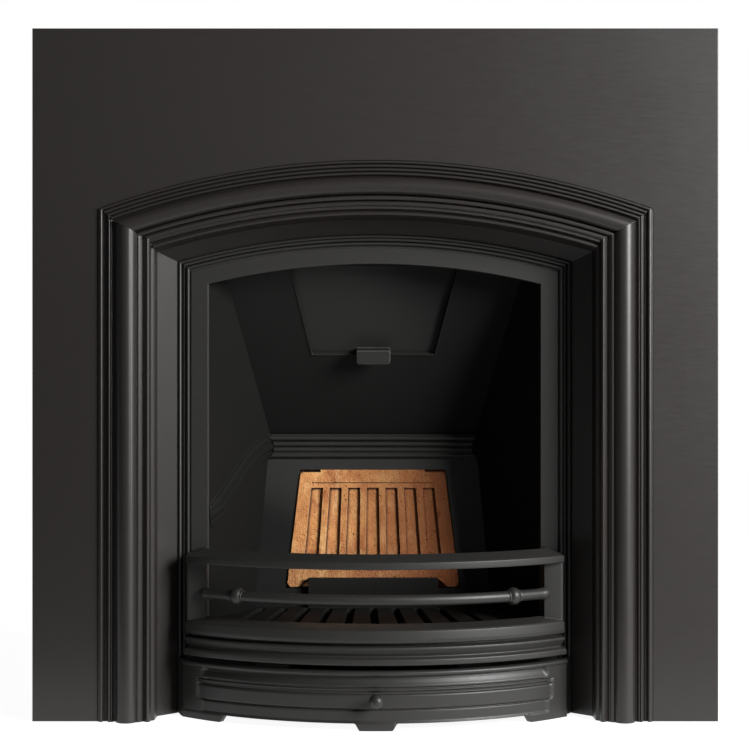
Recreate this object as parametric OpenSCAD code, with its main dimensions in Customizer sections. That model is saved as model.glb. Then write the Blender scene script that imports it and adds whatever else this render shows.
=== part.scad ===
// Arched cast iron fireplace insert: a square front plate with a moulded arch, a splayed firebox with
// a damper flap and a fluted firebrick, a bowed set of front bars, a bottom grate, an ash cover and an
// ash pan. Lengths are in millimetres and angles in degrees. Depth is measured from the front face of
// the plate and grows towards the wall. Z is up from the hearth.

/* [Front plate] */
// Width of the front plate
plate_w = 965; // [900:1:1100]
// Height of the front plate
plate_h = 975; // [880:1:1100]
// Thickness of the front plate
plate_t = 8; // [6:0.5:12]

/* [Moulded arch] */
// Half the width of the arch over the outside of its moulding
arch_half_w = 391; // [360:1:420]
// Height of the moulding's outer edge at the crown
crown_z = 790; // [740:1:850]
// Radius of the moulding's outer edge
arch_r = 1150; // [1000:5:1500]
// Width of the moulding seen from the front
moulding_w = 79.5; // [76:0.5:90]
// Radius of the large round member
torus_r = 12; // [9:0.5:13]
// Radius of the four fine reeds outside it
reed_r = 2.2; // [1.5:0.1:2.6]
// Radius of the two beads inside it
bead_r = 3.3; // [2:0.1:4]
// Depth of the moulding's inner edge behind the plate
return_front = 9; // [5:0.5:14]
// Depth at which the splay starts
splay_front = 39; // [30:0.5:50]
// Depth at which the splay ends
splay_back = 64; // [58:0.5:80]
// Width of the splay on the legs
splay_leg_w = 27.5; // [22:0.5:35]
// Width of the splay round the arch
splay_arch_w = 21; // [17:0.5:30]

/* [Inner frame] */
// Thickness of the inner frame behind its flat face
frame_t = 10; // [8:0.5:14]
// Width of the beaded strip on the legs
strip_leg_w = 18.7; // [15:0.1:24]
// Width of the beaded strip round the arch
strip_arch_w = 16.4; // [14:0.1:24]
// Width of the flat face on the legs
flat_leg_w = 25.8; // [20:0.1:32]
// Width of the flat face round the arch
flat_arch_w = 25.6; // [20:0.1:32]
// Radius of the three beads
strip_bead_r = 2.5; // [1.8:0.1:2.6]

/* [Firebox] */
// Wall thickness of the firebox castings
wall_t = 8; // [6:0.5:11]
// Width of the flanges that join them
flange_w = 44; // [40:1:52]
// Half the width between the cheeks at the shelf
back_half_w = 158; // [140:1:175]
// Depth of the shelf behind the plate
shelf_depth = 243; // [225:1:270]
// Height of the shelf
shelf_z = 396; // [380:1:420]
// Lean of the lower back, in degrees
back_lean = 9.65; // [6:0.05:12]
// Height at which the lower back starts to lean
knee_z = 150; // [130:1:158]
// Forward lean of the throat plate, in degrees
throat_lean = 27.6; // [24:0.1:30]
// Height of the firebox at its top
firebox_h = 660; // [655:1:668]
// How far the joining flanges at the shelf reach back
shelf_flange = 30; // [28:1:45]
// Height of the moulding along the shelf
shelf_band = 37; // [30:0.5:42]

/* [Damper] */
// Width of the damper opening at its foot
damper_foot_w = 184; // [150:1:200]
// Width of the damper opening at its head
damper_head_w = 247; // [200:1:260]
// Height of the damper opening along the throat plate
damper_l = 146; // [110:1:148]
// Distance along the throat plate from the shelf to the damper opening
damper_from_shelf = 138; // [125:1:142]
// Thickness of the flap
flap_t = 5; // [4:0.5:7]
// How far the flap laps behind the throat plate
flap_lap = 7; // [5:0.5:9]
// Diameter of the damper's pin
damper_pin_d = 8; // [6:0.5:9]
// Width of the flap's tab
tab_w = 50; // [30:1:70]
// Length of the tab from the flap to its front edge
tab_l = 34.6; // [26:0.2:38]

/* [Firebrick] */
// Width of the brick at its top
brick_top_w = 222; // [200:1:230]
// Width of the brick at its foot
brick_foot_w = 262; // [240:1:268]
// Height of the brick along the back
brick_h = 175; // [150:1:180]
// Thickness of the brick
brick_t = 28; // [22:0.5:29]
// Number of flutes in the brick
flute_n = 7; // [3:1:8]
// Width of a flute at its foot
flute_w = 22; // [10:0.5:23]
// Depth of a flute
flute_depth = 5; // [2:0.5:8]

/* [Front bars] */
// Half the width of the bars over their posts
bars_half_w = 269; // [265:1:272]
// Radius of the bow in plan
bow_r = 412; // [385:1:450]
// How far the bow stands out in front of the plate
bow_out = 73; // [55:1:80]
// Thickness of the rails from front to back
rail_t = 26; // [22:0.5:30]
// Width of a post
post_w = 28.5; // [27:0.5:33]
// Top of the top rail
top_rail_z = 240; // [232:1:260]
// Height of the top rail
top_rail_h = 19.5; // [16:0.5:24]
// Height of the round middle bar
middle_bar_z = 177.5; // [172:0.5:186]
// Diameter of the middle bar
middle_bar_d = 15.5; // [9:0.5:17]
// Distance of each turned bead from the centre of the middle bar
middle_bead_x = 193; // [120:1:205]
// Top of the lower rail
low_rail_z = 144; // [141:0.5:150]
// Underside of the lower rail's lip
low_rail_foot = 89.5; // [88:0.5:96]

/* [Bottom grate] */
// Top of the bottom grate
grate_z = 135; // [130:0.5:138]
// Thickness of the bottom grate
grate_t = 14; // [10:0.5:17]
// Distance between slots at the middle of the bow
slot_pitch = 40.5; // [34:0.5:41]
// Width of a slot
slot_w = 12; // [7:0.5:14]
// Slots on each side of the middle one
slot_side_n = 5; // [3:1:5]
// Height of the upright lip behind the grate
grate_lip_h = 45; // [25:1:48]

/* [Ash cover and pan] */
// Half the width of the ash cover
cover_half_w = 273.5; // [268:0.5:276]
// How far the ash cover stands out in front of the plate
cover_out = 68; // [60:1:72]
// Thickness of the ash cover
cover_t = 8; // [6:0.5:10]
// Top of the ash cover
cover_z = 82; // [78:0.5:85]
// Underside of the ash cover between its feet
cover_foot_z = 10; // [6:0.5:12]
// Width of the knob
knob_d = 20; // [14:0.5:24]
// Width of the ash pan
pan_w = 240; // [200:1:250]
// Length of the ash pan from front to back
pan_l = 190; // [180:1:200]
// Height of the ash pan
pan_h = 58; // [40:1:80]
// Thickness of the ash pan's sheet
pan_t = 2; // [1:0.25:3]

/* [Fasteners] */
// Diameter of the assembly screws and bolts
bolt_d = 8; // [6:0.5:10]
// Diameter of the hole for a wall screw in each lug
wall_hole_d = 9; // [6:0.5:11]

/* [Hidden] */

$fn = 96;
fine = 360;          // facets of a full circle for the long flat arcs
eps = 0.01;
seam = 0.15;         // hair step where two runs of one moulding meet at a mitre
fit = 0.05;          // radial clearance of a screw, pin or bar in its hole
joint_gap = 0.3;     // clearance between castings that lie beside each other
iron = "#3c3b3d";
steel = "#77787a";
fireclay = "#b9713d";

// ---- derived heights, widths and depths ----
arch_z = crown_z - arch_r;                       // height of the arch's centre
seat_depth = splay_back + 4;                     // where the inner frame's rim meets the surround
flat_depth = splay_back + 1;                     // the inner frame's flat face
frame_back = flat_depth + frame_t;               // its back, where the firebox starts
rim_w = 22;                                      // width of the rim behind the splay
splay_leg_x = arch_half_w - moulding_w - splay_leg_w;
splay_arch_r = arch_r - moulding_w - splay_arch_w;
open_half_w = splay_leg_x - strip_leg_w - flat_leg_w;
open_r = splay_arch_r - strip_arch_w - flat_arch_w;

knee_depth = shelf_depth - (shelf_z - knee_z) * tan(back_lean);
throat_top_depth = shelf_depth - (firebox_h - shelf_z) * tan(throat_lean);
back_depth = shelf_depth + shelf_flange;         // rearmost depth of the whole fireplace
cheek_slope = (open_half_w - back_half_w) / (shelf_depth - frame_back);
cheek_t_x = wall_t * sqrt(1 + cheek_slope * cheek_slope);
flange_mid = 27;                                 // from a cheek's face to the bolts in its flange

knob_stem = 12;
knob_out = cover_out + knob_stem + knob_d * 0.8; // foremost point of the whole fireplace
face_y = (knob_out - back_depth) / 2;            // puts the middle of the depth on y = 0

bow_y = bow_r - bow_out;                         // depth of the centre of the bow
head_h = bolt_d * 0.66;
head_r = bolt_d * 0.93;

function cheek_x(depth) = open_half_w - (depth - frame_back) * cheek_slope;
function back_line(z) = z < knee_z ? knee_depth : knee_depth + (z - knee_z) * tan(back_lean);
function throat_line(z) = shelf_depth - (z - shelf_z) * tan(throat_lean);
function bow_depth(x, r) = bow_y - sqrt(r * r - x * x);

// Corner where a line of the legs meets the same line of the arch, given how far each lies inwards
function corner(leg_in, arch_in) =
    [arch_half_w - leg_in, arch_z + sqrt(pow(arch_r - arch_in, 2) - pow(arch_half_w - leg_in, 2))];

module at_face() {
    translate([0, face_y, 0]) children();
}

module both_sides() {
    children();
    mirror([1, 0, 0]) children();
}

// ---- arched castings: two straight legs and an arch, mitred where they meet ----

// The lines across the castings at which the mitre bends, from outside to inside
strip_leg_in = moulding_w + splay_leg_w;
strip_arch_in = moulding_w + splay_arch_w;
mitre_steps = concat(
    [[-13, -13], [0, 0], [5.4, 3.2], [20.6, 20], [22.5, 24.5], [38, 37], [53.5, 49.8], [57.4, 53.6],
     [64.2, 58.3], [70.5, 61.6], [73.6, 64.9], [75.5, 70], [moulding_w, moulding_w]],
    [[strip_leg_in, strip_arch_in],
     [strip_leg_in + strip_leg_w, strip_arch_in + strip_arch_w],
     [arch_half_w - open_half_w, arch_r - open_r],
     [arch_half_w - open_half_w + 15, arch_r - open_r + 15]]);
mitre = [for (s = mitre_steps) corner(s[0], s[1])];

module arch_zone() {
    n = len(mitre);
    above = crown_z + 100;
    outline = concat(mitre,
                     [for (i = [n - 1 : -1 : 0]) [-mitre[i][0], mitre[i][1]]],
                     [[-mitre[0][0], above], [mitre[0][0], above]]);
    translate([0, back_depth, 0]) rotate([90, 0, 0])
        linear_extrude(back_depth + 100) polygon(outline);
}

// children(0) is the section of the legs and children(1) that of the arch. In both, x runs outwards
// from the centre line or the arch's centre, and y stands out towards the room.
module arched() {
    half_angle = asin((arch_half_w + 12) / arch_r);
    both_sides() difference() {
        mirror([0, 1, 0]) linear_extrude(crown_z) children(0);
        arch_zone();
    }
    intersection() {
        translate([0, 0, arch_z]) rotate([90, 0, 0]) rotate([0, 0, 90 - half_angle])
            rotate_extrude(angle = 2 * half_angle, $fn = fine) translate([-seam, seam]) children(1);
        arch_zone();
    }
}

// Section of the surround's moulding, return and splay on the arch, with its outer edge at x = outer
module surround_section(outer, splay_w) {
    reed_pitch = 5.6;
    torus_x = 37;
    bead_x = 53.6;
    bead_pitch = 8;
    translate([outer, 0]) mirror([1, 0]) {
        polygon(concat([
            [0, -plate_t], [0, 1.5], [23, 5.5], [24.5, 3.5], [50, 3.5], [66, 1.5], [70, -1],
            [71.5, -3.5], [moulding_w - 2, -5], [moulding_w, -return_front]], return_and_splay(splay_w)));
        for (i = [0 : 3]) translate([3.2 + i * reed_pitch, 2.2 + i * 1.1]) circle(reed_r);
        translate([torus_x, 4.5]) circle(torus_r);
        for (i = [0 : 1]) translate([bead_x + i * bead_pitch, 3.4 - i * 1.2]) circle(bead_r);
        translate([moulding_w - 4.6, -5.2]) circle(2.4);
    }
}

// The same on the legs, where the round is wider and the members between it and the return are fuller
module leg_section(outer, splay_w) {
    wide_r = torus_r + 4;
    translate([outer, 0]) mirror([1, 0]) {
        polygon(concat([
            [0, -plate_t], [0, 1.5], [22.5, 4.6], [23.5, 2.5], [53.6, 2.5], [54.4, 4], [57, 5.8], [60.2, 4.8],
            [63.6, 0.9], [64.6, 0.9], [66.6, 3.3], [69.6, 4.9], [72, 5], [73, 4.2], [73.9, 1], [75.4, -2.8],
            [moulding_w - 2, -5], [moulding_w, -return_front]], return_and_splay(splay_w)));
        for (p = [[5.4, 2.4], [10.7, 1.6], [16.2, 3.9], [20.5, 4.7]]) translate(p) circle(reed_r - 0.1);
        translate([38, 15.9 - wide_r]) circle(wide_r);
        translate([57.2, 3.3]) circle(bead_r - 0.2);
    }
}

function return_and_splay(splay_w) = [
    [moulding_w + 1, -splay_front], [moulding_w + splay_w, -splay_back],
    [moulding_w + splay_w, -seat_depth], [moulding_w + splay_w - rim_w - 2, -seat_depth],
    [moulding_w - wall_t, -splay_front - 10], [moulding_w - wall_t, -plate_t - 8],
    [moulding_w - wall_t - 10, -plate_t]];

// Section of the inner frame, with the end of the surround's splay at x = outer
module frame_section(outer, strip_w, flat_w) {
    base = splay_back - 0.5;
    translate([outer, 0]) mirror([1, 0]) {
        polygon([
            [-rim_w, -frame_back], [-rim_w, -seat_depth], [joint_gap, -seat_depth],
            [joint_gap, -base], [strip_w, -base], [strip_w, -flat_depth],
            [strip_w + flat_w, -flat_depth], [strip_w + flat_w, -frame_back]]);
        for (i = [0 : 2]) translate([joint_gap + strip_bead_r + i * (strip_w - 2 * strip_bead_r - 0.6) / 2, -base])
            circle(strip_bead_r);
    }
}

// Places of the screws that hold the inner frame to the surround's splay: [x, z]
frame_screw_in = rim_w / 2;
frame_screw_at = concat(
    [for (s = [-1, 1], z = [70, 330, 560]) [s * (splay_leg_x + frame_screw_in), z]],
    [for (a = [-11, 0, 11]) [(splay_arch_r + frame_screw_in) * sin(a),
                           arch_z + (splay_arch_r + frame_screw_in) * cos(a)]]);
frame_screw_reach = 9;

// Places of the screws that hold the cheeks to the inner frame: [x, z]
cheek_screw_at = [for (s = [-1, 1], z = [60, 300, 540]) [s * (open_half_w + flange_mid - 4), z]];
lintel_t = wall_t;
lintel_screw_z = firebox_h + lintel_t + 7;
lintel_screw_at = [for (x = [-120, 0, 120]) [x, lintel_screw_z]];
blind_reach = 7;

// Hex screw along the depth, head towards the wall and its seat at the given depth
module screw_y(reach, seat) {
    translate([0, seat, 0]) rotate([90, 0, 0]) {
        translate([0, 0, -head_h]) cylinder(h = head_h, r = head_r, $fn = 6);
        translate([0, 0, -eps]) cylinder(h = reach + eps, d = bolt_d, $fn = 32);
    }
}

module hole_y(reach, seat) {
    translate([0, seat + 1, 0]) rotate([90, 0, 0])
        cylinder(h = reach + 1.5, r = bolt_d / 2 + fit, $fn = 32);
}

// ---- surround ----
lug_x = 437;
lug_z = [160, 820];
lug_boss_t = 8;
lug_boss_r = 13;
lug_plate_t = 5;
lug_w = 34;
lug_arm = 55;

module lug_places() {
    for (s = [0, 1], z = lug_z) mirror([s, 0, 0]) translate([lug_x, 0, z]) children();
}

module surround() {
    lip_in = 3;      // the plate runs this far in under the moulding
    color(iron) at_face() difference() {
        union() {
            difference() {
                translate([-plate_w / 2, 0, 0]) cube([plate_w, plate_t, plate_h]);
                translate([0, plate_t + 1, 0]) rotate([90, 0, 0]) linear_extrude(plate_t + 2)
                    arch_outline(lip_in);
            }
            arched() {
                leg_section(arch_half_w, splay_leg_w);
                surround_section(arch_r, splay_arch_w);
            }
            lug_places() translate([0, plate_t + lug_boss_t, 0]) rotate([90, 0, 0])
                cylinder(h = lug_boss_t + 2, r = lug_boss_r);
        }
        for (p = frame_screw_at) translate([p[0], 0, p[1]]) hole_y(frame_screw_reach, seat_depth);
        lug_places() hole_y(lug_boss_t + 3, plate_t + lug_boss_t);
    }
}

// The arched opening at a given distance inside the moulding's outer edge
module arch_outline(inward) {
    intersection() {
        translate([-arch_half_w + inward, -1]) square([2 * (arch_half_w - inward), crown_z + 10]);
        translate([0, arch_z]) circle(arch_r - inward, $fn = 2 * fine);
    }
}

// ---- inner frame ----
hanger_z = 200;
hanger_h = 20;
hanger_t = 5;
hanger_out = 20;
nose_t = 6;
nose_h = 7;
post_mid_x = bars_half_w - post_w / 2;
bracket_w = 30;
bracket_h = 16;
bracket_out = 18;

module inner_frame() {
    hanger_w = post_w - 2 * hanger_t - 1;
    color(iron) at_face() {
        difference() {
            union() {
                arched() {
                    frame_section(splay_leg_x, strip_leg_w, flat_leg_w);
                    frame_section(splay_arch_r, strip_arch_w, flat_arch_w);
                }
                both_sides() {
                    // hook that carries the front bars
                    translate([post_mid_x - hanger_w / 2, flat_depth - hanger_out, hanger_z - hanger_h])
                        cube([hanger_w, hanger_out + 1, hanger_h]);
                    translate([post_mid_x - hanger_w / 2, flat_depth - hanger_out, hanger_z - 1])
                        cube([hanger_w, nose_t, nose_h + 1]);
                    // bracket that carries the bottom grate
                    translate([open_half_w - bracket_w, flat_depth - bracket_out, grate_z - grate_t - bracket_h])
                        cube([bracket_w + 1, bracket_out + frame_t, bracket_h]);
                }
            }
            for (p = frame_screw_at) translate([p[0], 0, p[1]]) hole_y(frame_t, frame_back);
            for (p = cheek_screw_at) translate([p[0], 0, p[1]]) hole_y(blind_reach, frame_back);
            for (p = lintel_screw_at) translate([p[0], 0, p[1]]) hole_y(blind_reach, frame_back);
        }
    }
}

// ---- firebox ----

// Outline of a cheek seen from the side, less an inset: x is depth and y is height
module cheek_outline(inset) {
    back_in = inset / cos(back_lean);
    throat_in = inset / cos(throat_lean);
    bend_z = shelf_z + (back_in - throat_in) / (tan(back_lean) + tan(throat_lean));
    polygon([
        [frame_back + inset, -inset], [knee_depth - back_in, -inset], [knee_depth - back_in, knee_z],
        [back_line(bend_z) - back_in, bend_z], [throat_top_depth - throat_in, firebox_h],
        [throat_top_depth - throat_in, firebox_h + inset], [frame_back + inset, firebox_h + inset]]);
}

// Strip of the right cheek in plan, from its inner face outwards
module cheek_strip(w) {
    front = frame_back;
    back = back_depth;
    polygon([[cheek_x(front), front], [cheek_x(front) + w, front],
             [cheek_x(back) + w, back], [cheek_x(back), back]]);
}

// Extrudes a side outline (depth, height) across the fireplace
module across(w) {
    translate([-w / 2, 0, 0]) rotate([90, 0, 90]) linear_extrude(w) children();
}

// The band along a cheek: s is 0 at the front and 1 at the shelf
band_front_z = 281;
band_back_z = shelf_z - shelf_band / 2;
band_steps = 16;
function band_rise(s) = (3 * s * s - 2 * s * s * s + sin(90 * s)) / 2;
function band_z(s) = band_front_z + (band_back_z - band_front_z) * band_rise(s);

// Outline of the band on the cheek's face, half_w on each side of its middle line
module band_outline(length, half_w) {
    at = [for (i = [0 : band_steps]) i / band_steps];
    function slope(s) = (band_z(min(1, s + 0.01)) - band_z(max(0, s - 0.01)))
                        / ((min(1, s + 0.01) - max(0, s - 0.01)) * length);
    function side(s, off) = [s * length - off * slope(s) / sqrt(1 + pow(slope(s), 2)),
                             band_z(s) + off / sqrt(1 + pow(slope(s), 2))];
    polygon(concat([for (s = at) side(s, half_w)],
                   [for (i = [band_steps : -1 : 0]) side(at[i], -half_w)]));
}

band_layers = [[shelf_band / 2 - 1, 5], [shelf_band / 2 - 5.5, 8], [shelf_band / 2 - 11.5, 10.5]];
ledge_z = grate_z - grate_t - 0.1;
ledge_t = 8;
ledge_w = 14;

cheek_l = (shelf_depth - frame_back) * sqrt(1 + cheek_slope * cheek_slope);

// Local frame of the right cheek: x runs back along its face and y stands out from it
module along_cheek() {
    translate([cheek_x(frame_back), frame_back, 0]) rotate([0, 0, 90 + atan(cheek_slope)]) children();
}

// The moulded band in steps, grown by a clearance
module cheek_band(gap) {
    along_cheek() for (b = band_layers) translate([0, b[1] + gap, 0]) rotate([90, 0, 0])
        linear_extrude(b[1] + gap + 1) band_outline(cheek_l, b[0] + gap);
}

module cheek_casting() {
    difference() {
        union() {
            intersection() {
                linear_extrude(firebox_h) cheek_strip(cheek_t_x);
                across(plate_w) cheek_outline(0);
            }
            intersection() {
                linear_extrude(firebox_h) cheek_strip(flange_w);
                across(plate_w) difference() {
                    cheek_outline(0);
                    cheek_outline(wall_t);
                }
            }
            // moulded band and grate ledge, on the inner face
            intersection() {
                union() {
                    cheek_band(0);
                    along_cheek() translate([12, -1, ledge_z - ledge_t]) cube([cheek_l, ledge_w + 1, ledge_t]);
                }
                across(plate_w) cheek_outline(0);
            }
        }
        for (p = cheek_screw_at) translate([abs(p[0]), 0, p[1]]) hole_y(wall_t + 4, frame_back + wall_t);
        back_bolt_places() bolt_hole(wall_t + 2);
        throat_bolt_places() bolt_hole(wall_t + 2);
    }
}

module right_cheek() {
    color(iron) at_face() cheek_casting();
}

module left_cheek() {
    color(iron) at_face() mirror([1, 0, 0]) cheek_casting();
}

// Local frames of the leaning back and throat: z runs up the front face and y goes into the wall
module on_back(up) {
    translate([0, knee_depth, knee_z]) rotate([-back_lean, 0, 0]) translate([0, 0, up]) children();
}

module on_throat(up) {
    translate([0, shelf_depth, shelf_z]) rotate([throat_lean, 0, 0]) translate([0, 0, up]) children();
}

back_bolt_up = [40, 190];
throat_bolt_up = [45, 235];

module back_bolt_places() {
    for (up = back_bolt_up)
        translate([cheek_x(knee_depth + up * sin(back_lean)) + flange_mid, 0, 0]) on_back(up) children();
}

module throat_bolt_places() {
    for (up = throat_bolt_up)
        translate([cheek_x(shelf_depth - up * sin(throat_lean)) + flange_mid, 0, 0]) on_throat(up) children();
}

// Through hole along local y, and the bolt and nut that go in it
module bolt_hole(reach) {
    translate([0, reach, 0]) rotate([90, 0, 0]) cylinder(h = 2 * reach, r = bolt_d / 2 + fit, $fn = 32);
}

module bolt_through() {
    shank = 2 * wall_t + head_h + 3;
    translate([0, -wall_t, 0]) rotate([-90, 0, 0]) {
        translate([0, 0, -head_h]) cylinder(h = head_h, r = head_r, $fn = 6);
        translate([0, 0, -eps]) cylinder(h = shank, d = bolt_d, $fn = 32);
    }
}

module nut_behind() {
    translate([0, wall_t, 0]) rotate([-90, 0, 0]) difference() {
        cylinder(h = head_h, r = head_r, $fn = 6);
        translate([0, 0, -1]) cylinder(h = head_h + 2, r = bolt_d / 2 + fit, $fn = 32);
    }
}

fireback_half_w = cheek_x(knee_depth) + flange_w;
brick_gap = 1.5;
brick_head_gap = 4.5;
brick_lap = 4;       // how far the brick laps behind the fireback
brick_foot_up = 15;
brick_proud = 3;
shelf_bolt_x = [-110, 0, 110];
shelf_bolt_back = shelf_flange - 12;
clip_x = 60;
clip_up = brick_foot_up + brick_h + 24;
blind_clip = 5.9;
clip_t = 3;

// Outline of the brick on the back, grown at its sides, head and foot, with its top corners cut off
module brick_outline(side, head, foot_gap, corner) {
    foot = brick_foot_w / 2 + side;
    top = brick_top_w / 2 + side;
    low = brick_foot_up - foot_gap;
    high = brick_foot_up + brick_h + head;
    polygon([[-foot, low], [foot, low], [top, high - corner], [top - corner, high],
             [-top + corner, high], [-top, high - corner]]);
}

module shelf_section() {
    reed = shelf_band / 8;
    foot = shelf_z - shelf_band;
    polygon([
        [back_line(foot) + 2, foot], [back_line(foot) - 3, foot], [back_line(foot) - 4, foot + 2 * reed],
        [back_line(shelf_z) - 9, shelf_z - 2 * reed], [back_line(shelf_z) - 9, shelf_z - 1],
        [back_line(shelf_z) - 8, shelf_z], [back_line(shelf_z) + 2, shelf_z]]);
    for (i = [0 : 3]) translate([back_line(foot) - 2.5 - i * 0.9, foot + reed * (1 + 1.9 * i)]) circle(reed * 0.85);
}

module fireback() {
    back_t = wall_t / cos(back_lean);
    color(iron) at_face() difference() {
        union() {
            across(2 * fireback_half_w) polygon([
                [knee_depth, 0], [knee_depth + back_t, 0], [knee_depth + back_t, knee_z],
                [back_line(shelf_z - wall_t) + back_t, shelf_z - wall_t], [back_depth, shelf_z - wall_t],
                [back_depth, shelf_z], [shelf_depth, shelf_z], [knee_depth, knee_z]]);
            difference() {
                intersection() {
                    across(2 * fireback_half_w) shelf_section();
                    linear_extrude(plate_h) between_cheeks(joint_gap);
                }
                both_sides() cheek_band(joint_gap);
            }
            // shelf behind the opening that the brick stands on
            on_back(brick_foot_up - wall_t)
                translate([-brick_foot_w / 2 - 4, 1, 0]) cube([brick_foot_w + 8, brick_t + 4, wall_t]);
        }
        on_back(0) translate([0, wall_t + 5, 0]) rotate([90, 0, 0])
            linear_extrude(wall_t + 10) brick_outline(brick_gap, brick_head_gap, brick_gap, 2);
        both_sides() back_bolt_places() bolt_hole(wall_t + 2);
        for (x = shelf_bolt_x) translate([x, shelf_depth + shelf_bolt_back, shelf_z - wall_t - 1])
            cylinder(h = wall_t + 2, r = bolt_d / 2 + fit, $fn = 32);
        for (x = [-clip_x, clip_x]) translate([x, 0, 0]) on_back(clip_up) hole_y(blind_clip - 0.4, wall_t);
    }
}

// Everything between the cheeks in plan, less a clearance on each side
module between_cheeks(gap) {
    front = frame_back - 1;
    back = back_depth;
    polygon([[-cheek_x(front) + gap, front], [cheek_x(front) - gap, front],
             [cheek_x(back) - gap, back], [-cheek_x(back) + gap, back]]);
}

module throat_plate() {
    up_flange = 22;
    length = (firebox_h - shelf_z) / cos(throat_lean);
    color(iron) at_face() difference() {
        union() {
            intersection() {
                on_throat(0) throat_face(length);
                translate([-plate_w / 2, 0, shelf_z]) cube([plate_w, back_depth, firebox_h + lintel_t - shelf_z]);
            }
            // flange at the foot, on the shelf
            translate([-back_half_w - flange_w, shelf_depth, shelf_z])
                cube([2 * (back_half_w + flange_w), shelf_flange, wall_t]);
            // lintel and its upright flange behind the inner frame
            translate([-cheek_x(frame_back), frame_back, firebox_h])
                cube([2 * cheek_x(frame_back), throat_top_depth + wall_t - frame_back, lintel_t]);
            translate([-160, frame_back, firebox_h]) cube([320, wall_t, lintel_t + up_flange]);
        }
        on_throat(0) translate([0, wall_t + 1, 0]) rotate([90, 0, 0])
            linear_extrude(wall_t + 10) damper_outline(0, 0);
        damper_axis() rotate([0, 90, 0]) cylinder(h = 300, r = damper_pin_d / 2 + fit, center = true, $fn = 48);
        both_sides() throat_bolt_places() bolt_hole(wall_t + 2);
        for (x = shelf_bolt_x) translate([x, shelf_depth + shelf_bolt_back, shelf_z - 1])
            cylinder(h = wall_t + 2, r = bolt_d / 2 + fit, $fn = 32);
        for (p = lintel_screw_at) translate([p[0], 0, p[1]]) hole_y(wall_t + 2, frame_back + wall_t);
    }
}

// Outline of the damper opening on the throat plate, grown by a lap, from a given height up it
module damper_outline(grow, from) {
    foot = damper_foot_w / 2 + grow;
    head = damper_head_w / 2 + grow;
    low = damper_from_shelf;
    high = damper_from_shelf + damper_l;
    side = (head - foot) / damper_l;
    polygon([[-foot - from * side, low + from], [foot + from * side, low + from],
             [head, high + grow], [-head, high + grow]]);
}

rim_t = 1;
damper_lug_t = 10;
lug_out = 2;         // how far the lugs stand outside the foot of the opening
barrel_r = damper_pin_d / 2 + 2.5;
barrel_gap = 0.4;
axis_back = wall_t + barrel_gap + barrel_r;

module damper_axis() {
    on_throat(damper_from_shelf + 1) translate([0, axis_back, 0]) children();
}

module throat_face(length) {
    foot = back_half_w + flange_w;
    head = cheek_x(throat_top_depth) + flange_w;
    translate([0, wall_t, 0]) rotate([90, 0, 0]) linear_extrude(wall_t)
        polygon([[-foot, -wall_t], [foot, -wall_t], [head, length + wall_t], [-head, length + wall_t]]);
    // raised rim round the damper opening
    translate([0, 0.5, 0]) rotate([90, 0, 0]) linear_extrude(rim_t + 0.5) difference() {
        damper_outline(2, -2);
        damper_outline(0, 0);
    }
    // lugs for the damper's pin, behind the plate
    both_sides() translate([damper_foot_w / 2 + lug_out, 0, damper_from_shelf + 1]) {
        translate([0, wall_t - 1, -barrel_r + 0.3]) cube([damper_lug_t, axis_back - wall_t + 1, 2 * barrel_r - 0.6]);
        translate([0, axis_back, 0]) rotate([0, 90, 0]) cylinder(h = damper_lug_t, r = barrel_r, $fn = 48);
    }
}

tab_droop = 8;

module damper_flap() {
    half = damper_foot_w / 2 + lug_out - joint_gap;
    front = wall_t + barrel_gap;
    web_up = 8.6;
    tab_t = 5;
    lip_h = 15.5;
    color(iron) at_face() on_throat(0) difference() {
        union() {
            translate([0, front + flap_t, 0]) rotate([90, 0, 0]) linear_extrude(flap_t)
                damper_outline(flap_lap, web_up);
            translate([-half, front, damper_from_shelf + 1]) cube([2 * half, flap_t, web_up + 2]);
            translate([-half, axis_back, damper_from_shelf + 1]) rotate([0, 90, 0])
                cylinder(h = 2 * half, r = barrel_r, $fn = 48);
            // tab that droops a little, with a turned-down front edge
            translate([0, front, damper_from_shelf + 1.2]) rotate([tab_droop - throat_lean, 0, 0]) {
                translate([-tab_w / 2, -tab_l, 0]) cube([tab_w, tab_l + 2, tab_t]);
                translate([0, -tab_l + 4, tab_t]) rotate([90, 0, 0]) linear_extrude(4) tab_face(lip_h + tab_t);
            }
        }
        translate([0, axis_back, damper_from_shelf + 1]) rotate([0, 90, 0])
            cylinder(h = 300, r = damper_pin_d / 2 + fit, center = true, $fn = 48);
    }
}

module tab_face(lip_h) {
    r = 4;
    translate([-tab_w / 2, -lip_h + r]) square([tab_w, lip_h - r]);
    translate([-tab_w / 2 + r, -lip_h]) square([tab_w - 2 * r, r + 1]);
    for (s = [-1, 1]) translate([s * (tab_w / 2 - r), -lip_h + r]) circle(r);
}

module damper_pin() {
    l = damper_foot_w + 2 * (lug_out + damper_lug_t) + 8;
    color(steel) at_face() damper_axis() rotate([0, 90, 0]) {
        cylinder(h = l, d = damper_pin_d, center = true, $fn = 48);
        for (s = [-1, 1]) translate([0, 0, s * (l / 2 + 1)]) cylinder(h = 3, d = damper_pin_d + 4, center = true);
    }
}

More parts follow.
